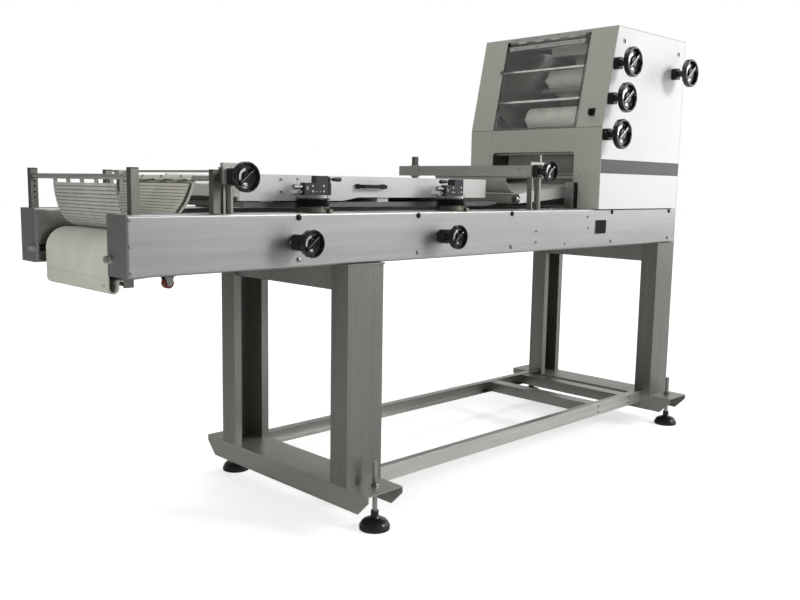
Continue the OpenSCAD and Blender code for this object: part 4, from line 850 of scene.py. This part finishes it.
bm = bmesh.new()
EYE_R, tilt = 0.0098, math.radians(146)
out = (math.cos(tilt), 0, math.sin(tilt))
for k in range(4):
    spot = (BAR[0] + EYE_R * out[0], (k - 1.5 + 0.17) * EYE_STEP, BAR[1] + EYE_R * out[2])
    merge(bm, lathe([(0.0022, 0.0002), (0.003, 0.0011), (0.0042, 0.0009), (0.0048, 0),
                     (0.004, -0.0006), (0.0022, 0.0002)], 24), at(*spot, out))
    merge(bm, screw_head(0.0042, 0.0012, False), at(*spot, out))
eyelets = piece("sling_eyelets", bm, [bright_steel])
print("sling mat", round(mat_long, 3), "m, canvas", round(canvas_long, 3), "m")

# %% [markdown]
# The curling mat hangs from the far crossbar and drags on the discharge belt, so its top follows
# the bar and its foot stays. A shorter mat hangs from a rod inside the outlet.

# %% The hanging mats
FAR_EDGE, MAT_TOP = 0.2903, 1.146


def dis_top(x):
    """The height of the discharge belt's upper face."""
    return DIS[1] + (x - DIS[0]) * math.tan(RISE) + (DIS_R + SEAT + DIS_T) / math.cos(RISE)


curl = [bezier((FAR_EDGE, MAT_TOP), (FAR_EDGE + 0.006, MAT_TOP - 0.04),
               (0.314, dis_top(0.338) + 0.01), (0.36, dis_top(0.36) + 0.0015), k / 40)
        for k in range(41)]
bm, curl_long = strip(beside(curl, 0.002), 0.19, 40)
curl_mat = thicken(piece("curl_cloth", bm, [grey_rib], None), 0.001)
RIB, RIB_HALF = (0.005, 0.0016), 0.1895
curl_front = piece("curl_slats_front", slats(curl, 0.0009, 0.0074, RIB, RIB_HALF), [grey_rib], None)
curl_back = piece("curl_slats_back", slats(curl, 0.0031, 0.0074, RIB, RIB_HALF), [grey_rib], None)
for part in (curl_mat, curl_front, curl_back):
    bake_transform(part, "machine", "far_bar", start=(FAR_EDGE, 0, 1.0733), end=(FAR_EDGE, 0, MAT_TOP))
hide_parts("curling_mat")

ROD, ROD_R = (0.795, 1.267), 0.006
hung = arc(*ROD, ROD_R + 0.0009, 20, 180, 16)
hung += [(ROD[0] - ROD_R - 0.0009, ROD[1] - 0.0062 * k) for k in range(1, 21)]
bm, hung_long = strip(hung, 0.19, 24)
# The outlet mat's sheet is near black too: painted shade between its ribs.
inner_mat = thicken(piece("outlet_cloth", bm, [gap_shade_cloth]), 0.001)
bm = slats(hung[17:], -0.0013, 0.0096, (0.0074, 0.0016), RIB_HALF)
front_ribs = piece("outlet_slats", bm, [shade_rib])
bm = bmesh.new()
merge(bm, rod(0.23, ROD_R, 24), at(ROD[0], 0, ROD[1], (0, 1, 0)))
mat_rod = piece("outlet_rod", bm, [bright_steel])
bm = bmesh.new()
for x, z, r in ((0.772, 1.147, 0.0095), (0.742, 1.247, 0.004)):
    merge(bm, rod(0.2299, r, 32), at(x, 0, z, (0, 1, 0)))
piece("outlet_guides", bm, [strip_steel])
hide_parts("inner_mat")
print("curling mat", round(curl_long, 3), "m, outlet mat", round(hung_long, 3), "m")

# %% [markdown]
# Rubber bellows keep flour out of the lifting spindles. Each one is a turned wave of four folds
# between a steel collar on the beam and the ring under the block, and folds as the board sinks.

# %% Bellows and collars
BASE_TOP, COLLAR_TOP, RING_LOW = 1.025, 1.0325, 1.057
LIFTS = ("left", -0.751), ("right", -0.128)
FOLDS, VALLEY_R, FOLD_DEEP = 4, 0.0445, 0.0125
wave = []
for k in range(FOLDS * 8 + 1):
    swing = 0.5 - 0.5 * math.cos(k / 8 * math.tau)
    wave.append((VALLEY_R + FOLD_DEEP * swing ** 0.8, (RING_LOW - COLLAR_TOP) * k / (FOLDS * 8)))
for unit, x in LIFTS:
    for side_name, y in (("front", -0.281), ("rear", 0.281)):
        name = f"bellows_{unit}_{side_name}"
        bm = bmesh.new()
        profile = [(0.019, 0), *wave, (0.019, RING_LOW - COLLAR_TOP)]
        merge(bm, lathe(profile, 56), at(x, y, COLLAR_TOP))
        rubber = piece(name, bm, [rubber_black], None, 50)
        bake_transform(rubber, "machine", "board", start=(x, y, COLLAR_TOP), end=(x, y, RING_LOW))
        if name == "bellows_left_front":
            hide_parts("lift_bellows")
        bm = bmesh.new()
        profile = [(0.017, 0), (0.0515, 0), (0.0522, 0.0006), (0.0522, 0.0068), (0.0514, 0.0074),
                   (0.047, 0.0074), (0.044, 0.0066), (0.017, 0.0066), (0.017, 0)]
        merge(bm, lathe(profile, 56), at(x, y, BASE_TOP))
        piece("collar" + name[7:], bm, [dull_steel])
print("four bellows and their collars")

# %% [markdown]
# The handwheels hold position dials, and their glints are painted. Each wheel gets a silver crescent in its
# dish, a smaller crescent below it and a bright line on the grip bar, set where a lamp's reflection falls.
# They turn with their wheels.

# %% Dials and painted glints in the handwheels


def sector(inner, outer, high, start, end, steps=20):
    """A bevelled piece of a flat ring, between two angles."""
    part = bmesh.new()
    edge = min(0.0005, (outer - inner) * 0.2)
    loop = [(inner, 0), (inner, high - edge), (inner + edge, high), (outer - edge, high),
            (outer, high - edge), (outer, 0)]
    turn = Matrix.Rotation(math.radians(start), 3, "Z")
    points = [part.verts.new(turn @ Vector((radius, 0, height))) for radius, height in loop]
    face = part.faces.new(points)
    bmesh.ops.spin(part, geom=[face], cent=(0, 0, 0), axis=(0, 0, 1),
                   angle=math.radians(end - start), steps=steps)
    bmesh.ops.recalc_face_normals(part, faces=part.faces)
    return part


SMALL, BIG = (0.082, 0.018), (0.12, 0.024)
WHEELS = {
    "near_wheel": (-1.071, 1.115, -0.3915, SMALL), "far_wheel": (0.295, 1.162, -0.3915, SMALL),
    "lift_wheel_l": (-0.853, 0.93, -0.4, SMALL), "lift_wheel_r": (-0.226, 0.93, -0.4, SMALL),
    "head_wheel_1": (0.785, 1.612, -0.422, BIG), "head_wheel_2": (0.754, 1.468, -0.422, BIG),
    "head_wheel_3": (0.729, 1.321, -0.422, BIG), "head_wheel_4": (1.267, 1.615, -0.422, BIG),
}
for body, (x, z, back, (across, deep)) in WHEELS.items():
    r = across / 2
    bm = bmesh.new()
    seat_at = Matrix.Translation((x, back - deep * 0.4, z)) @ Matrix.Rotation(math.pi / 2, 4, "X")
    # Silver crescents in the dish: painted highlights where a lamp's reflection falls.
    merge(bm, sector(r * 0.4, r * 0.6, deep * 0.14, 98, 205), seat_at)
    merge(bm, sector(r * 0.38, r * 0.58, deep * 0.14, 238, 276, 8), seat_at)
    # A bright line on the grip bar: a painted highlight.
    bar_glint_at = (Matrix.Translation((x, back - deep * 0.91, z)) @ Matrix.Rotation(math.pi / 2, 4, "X")
               @ Matrix.Rotation(math.radians(40), 4, "Z") @ Matrix.Translation((0, r * 0.06, 0)))
    merge(bm, block((r * 1.16, r * 0.035, deep * 0.05), 0.0003), bar_glint_at)
    piece("dial_glint_" + body, bm, [silver], body)
print("eight dials")

# %% [markdown]
# Small hardware comes next, set where the photograph shows it: screws on the beam, the board and
# the lifting blocks, a bare plate where the machine has its type plate, and the hinge strips.

# %% Screws, plates and knobs
BEAM_Y, BOARD_Y, BLOCK_Y, SIDE_Y = -0.336, -0.212, -0.293, -0.352
beam_spots = [(0.307, 0.9328), (0.307, 0.8903), (0.6584, 0.9826), (0.6608, 0.9391),
              (0.4993, 0.8782)]
screws("beam_screws", [(x, BEAM_Y, z) for x, z in beam_spots], 0.0095, 0.0022, FRONT, dull_steel)
board_spots = [(-0.817, 1.1115), (-0.817, 1.0747), (-0.753, 1.1139), (-0.5205, 1.0946),
               (-0.3795, 1.0937)]
screws("board_screws", [(x, BOARD_Y, z) for x, z in board_spots], 0.01, 0.0045, FRONT,
       bright_steel, "board")
block_spots = [(-0.7582, 1.0934), (-0.7154, 1.0939), (-0.7581, 1.0775), (-0.7153, 1.0778),
               (-0.1278, 1.0946), (-0.0856, 1.0951), (-0.128, 1.0781), (-0.0842, 1.0789)]
# The block screws and dots are white as a painted highlight, in place of the glint on their metal.
screws("block_screws", [(x, BLOCK_Y, z) for x, z in block_spots], 0.0066, 0.0012, FRONT,
       glint_white, "board")
dots = [(-0.7445, 1.0767), (-0.7292, 1.0767), (-0.1162, 1.0766), (-0.0991, 1.0766)]
screws("block_dots", [(x, BLOCK_Y, z) for x, z in dots], 0.0034, 0.0006, FRONT, glint_white,
       "board", False)
bm = bmesh.new()
for x in (-0.779, -0.156):
    merge(bm, lathe([(0.003, 0), (0.003, 0.0012), (0.0046, 0.0012), (0.0046, 0)], 24),
          at(x, BLOCK_Y, 1.0853, FRONT))
piece("block_marks", bm, [silver], "board")

bm = bmesh.new()
PLATE_X, PLATE_Z = 0.7565, 0.9405
moved = Matrix.Translation
merge(bm, block((0.087, 0.0012, 0.063), 0.0004), moved((PLATE_X, BEAM_Y - 0.0005, PLATE_Z)))
merge(bm, block((0.081, 0.0006, 0.057), 0.0002), moved((PLATE_X, BEAM_Y - 0.0012, PLATE_Z)), 1)
for x in (0.7175, 0.7955):
    for z in (0.9135, 0.9675):
        merge(bm, screw_head(0.004, 0.001, False), at(x, BEAM_Y - 0.0011, z, FRONT))
piece("bare_plate", bm, [bright_steel, plate_black])

bm = bmesh.new()
for x, z in ((0.85, 1.7097), (1.31, 1.707)):
    merge(bm, lathe([(0, 0.0012), (0.0095, 0.0012), (0.0105, 0.0022), (0.0125, 0.002),
                     (0.013, 0.0008), (0.013, -0.0004), (0, -0.0004)], 32), at(x, SIDE_Y, z, FRONT))
    merge(bm, block((0.017, 0.0034, 0.005), 0.0005), moved((x, SIDE_Y - 0.0024, z))
          @ Matrix.Rotation(math.radians(58), 4, "Y"), 1)
piece("side_locks", bm, [bright_steel, housing_black])
bm = bmesh.new()
for x, y, z in ((0.7126, -0.366, 1.3297), (-0.8739, BEAM_Y, 0.9303), (-0.2577, BEAM_Y, 0.93)):
    merge(bm, screw_head(0.0064, 0.0022, False), at(x, y, z, LEFT if z > 1 else FRONT))
piece("housing_marks", bm, [silver])

LEAN = math.radians(12.37)
HX, FOLD_Z = 0.709, 1.353


def face_point(out, y, along):
    """A point on the leaning front: out towards the operator, along up from the fold."""
    return (HX - out * math.cos(LEAN) + along * math.sin(LEAN), y,
            FOLD_Z + out * math.sin(LEAN) + along * math.cos(LEAN))


def on_face(out, y, along):
    """A matrix at a point of the front: X along the width, Y up the slope, Z out of it."""
    px, py, pz = face_point(out, y, along)
    return Matrix(((0, math.sin(LEAN), -math.cos(LEAN), px), (-1, 0, 0, py),
                   (0, math.cos(LEAN), math.sin(LEAN), pz), (0, 0, 0, 1)))


bm = bmesh.new()
merge(bm, block((0.402, 0.019, 0.0016), 0.0004), on_face(0.0034, 0, 0.3745))
for y in (0.163, 0.051, -0.061, -0.172):
    merge(bm, screw_head(0.0068, 0.0018), on_face(0.004, y, 0.3745), 1)
piece("hinge_strip_pane", bm, [strip_steel, dull_steel], "window")

bm = bmesh.new()
merge(bm, block((0.433, 0.012, 0.0014), 0.0004), on_face(0.003, -0.0055, 0.4145))
for y in (0.1675, 0.0557, -0.057, -0.169):
    merge(bm, screw_head(0.0062, 0.0018), on_face(0.0035, y, 0.415), 1)
piece("hinge_strip_front", bm, [strip_steel, dull_steel])

bm = bmesh.new()
for y in (0.2215, -0.2215):
    merge(bm, block((0.0048, 0.366, 0.0022), 0.0007, 2), on_face(0.0001, y, 0.19))
merge(bm, block((0.4478, 0.0048, 0.0022), 0.0007, 2), on_face(0.0001, 0, 0.005))
piece("window_gasket", bm, [grey_plate])

front_spots = [(0.2339, 1.3227), (-0.225, 1.319), (0.2355, 1.24), (-0.252, 1.154),
               (-0.253, 1.074), (0.236, 1.15)]
screws("front_screws", [(HX, y, z) for y, z in front_spots], 0.0065, 0.0016, LEFT, front_steel)
bm = bmesh.new()
merge(bm, block((0.024, 0.034, 0.001), 0.0004), on_face(0.0005, -0.294, 0.0625))
piece("switch_plate", bm, [housing_black])
bm = bmesh.new()
merge(bm, block((0.0012, 0.01, 0.0012), 0.0003), on_face(0.0246, -0.291, 0.0655))
piece("switch_mark", bm, [silver], "switch")
bm = bmesh.new()
merge(bm, block((0.016, 0.012, 0.004), 0.0012, 2), on_face(0.002, 0.229, 0.27))
merge(bm, block((0.006, 0.02, 0.006), 0.0012, 2), on_face(0.0034, 0.225, 0.27))
piece("window_latch", bm, [bright_steel])

bm = bmesh.new()
for s in (-1, 1):
    spot = at(DIS[0], s * 0.2032, DIS[1], (0, s, 0))
    merge(bm, lathe([(0.0085, 0), (0.0085, 0.003), (0.0175, 0.003), (0.0195, 0.0016),
                     (0.0195, -0.0002), (0.0085, -0.0002)], 40), spot, 0)
    merge(bm, lathe([(0, 0.012), (0.0042, 0.012), (0.005, 0.0108), (0.005, 0.006),
                     (0.0075, 0.005), (0.0075, 0.001), (0, 0.001)], 32), spot, 1)
piece("discharge_bearings", bm, [housing_black, silver])

CLAMP_Z = 1.0282
for unit, x in LIFTS:
    bm = bmesh.new()
    for s in (-1, 1):
        merge(bm, block((0.016, 0.012, 0.0064), 0.0012, 2), moved((x + 0.012, s * 0.3295, CLAMP_Z)))
        merge(bm, screw_head(0.0062, 0.003), at(x + 0.012, s * 0.3355, CLAMP_Z, (0, s, 0)))
    piece("collar_clamps_" + unit, bm, [dull_steel])

bm = bmesh.new()
for x in (-0.788, -0.165):
    merge(bm, lathe([(0, 0.017), (0.0028, 0.017), (0.0036, 0.0155), (0.0036, 0.009),
                     (0.0052, 0.0085), (0.0052, 0.002), (0.003, 0.001), (0.003, -0.004),
                     (0, -0.004)], 20), at(x, BLOCK_Y + 0.012, 1.0745, LEFT))
piece("block_pins", bm, [plunger_steel], "board")
bm = bmesh.new()
for y in (-0.272955, 0.272955):
    merge(bm, screw_head(0.0075, 0.002), at(0.2735, y, 1.167, LEFT))
bar_screws = piece("far_bar_screws", bm, [bright_steel], "far_bar")
print("small hardware in place")
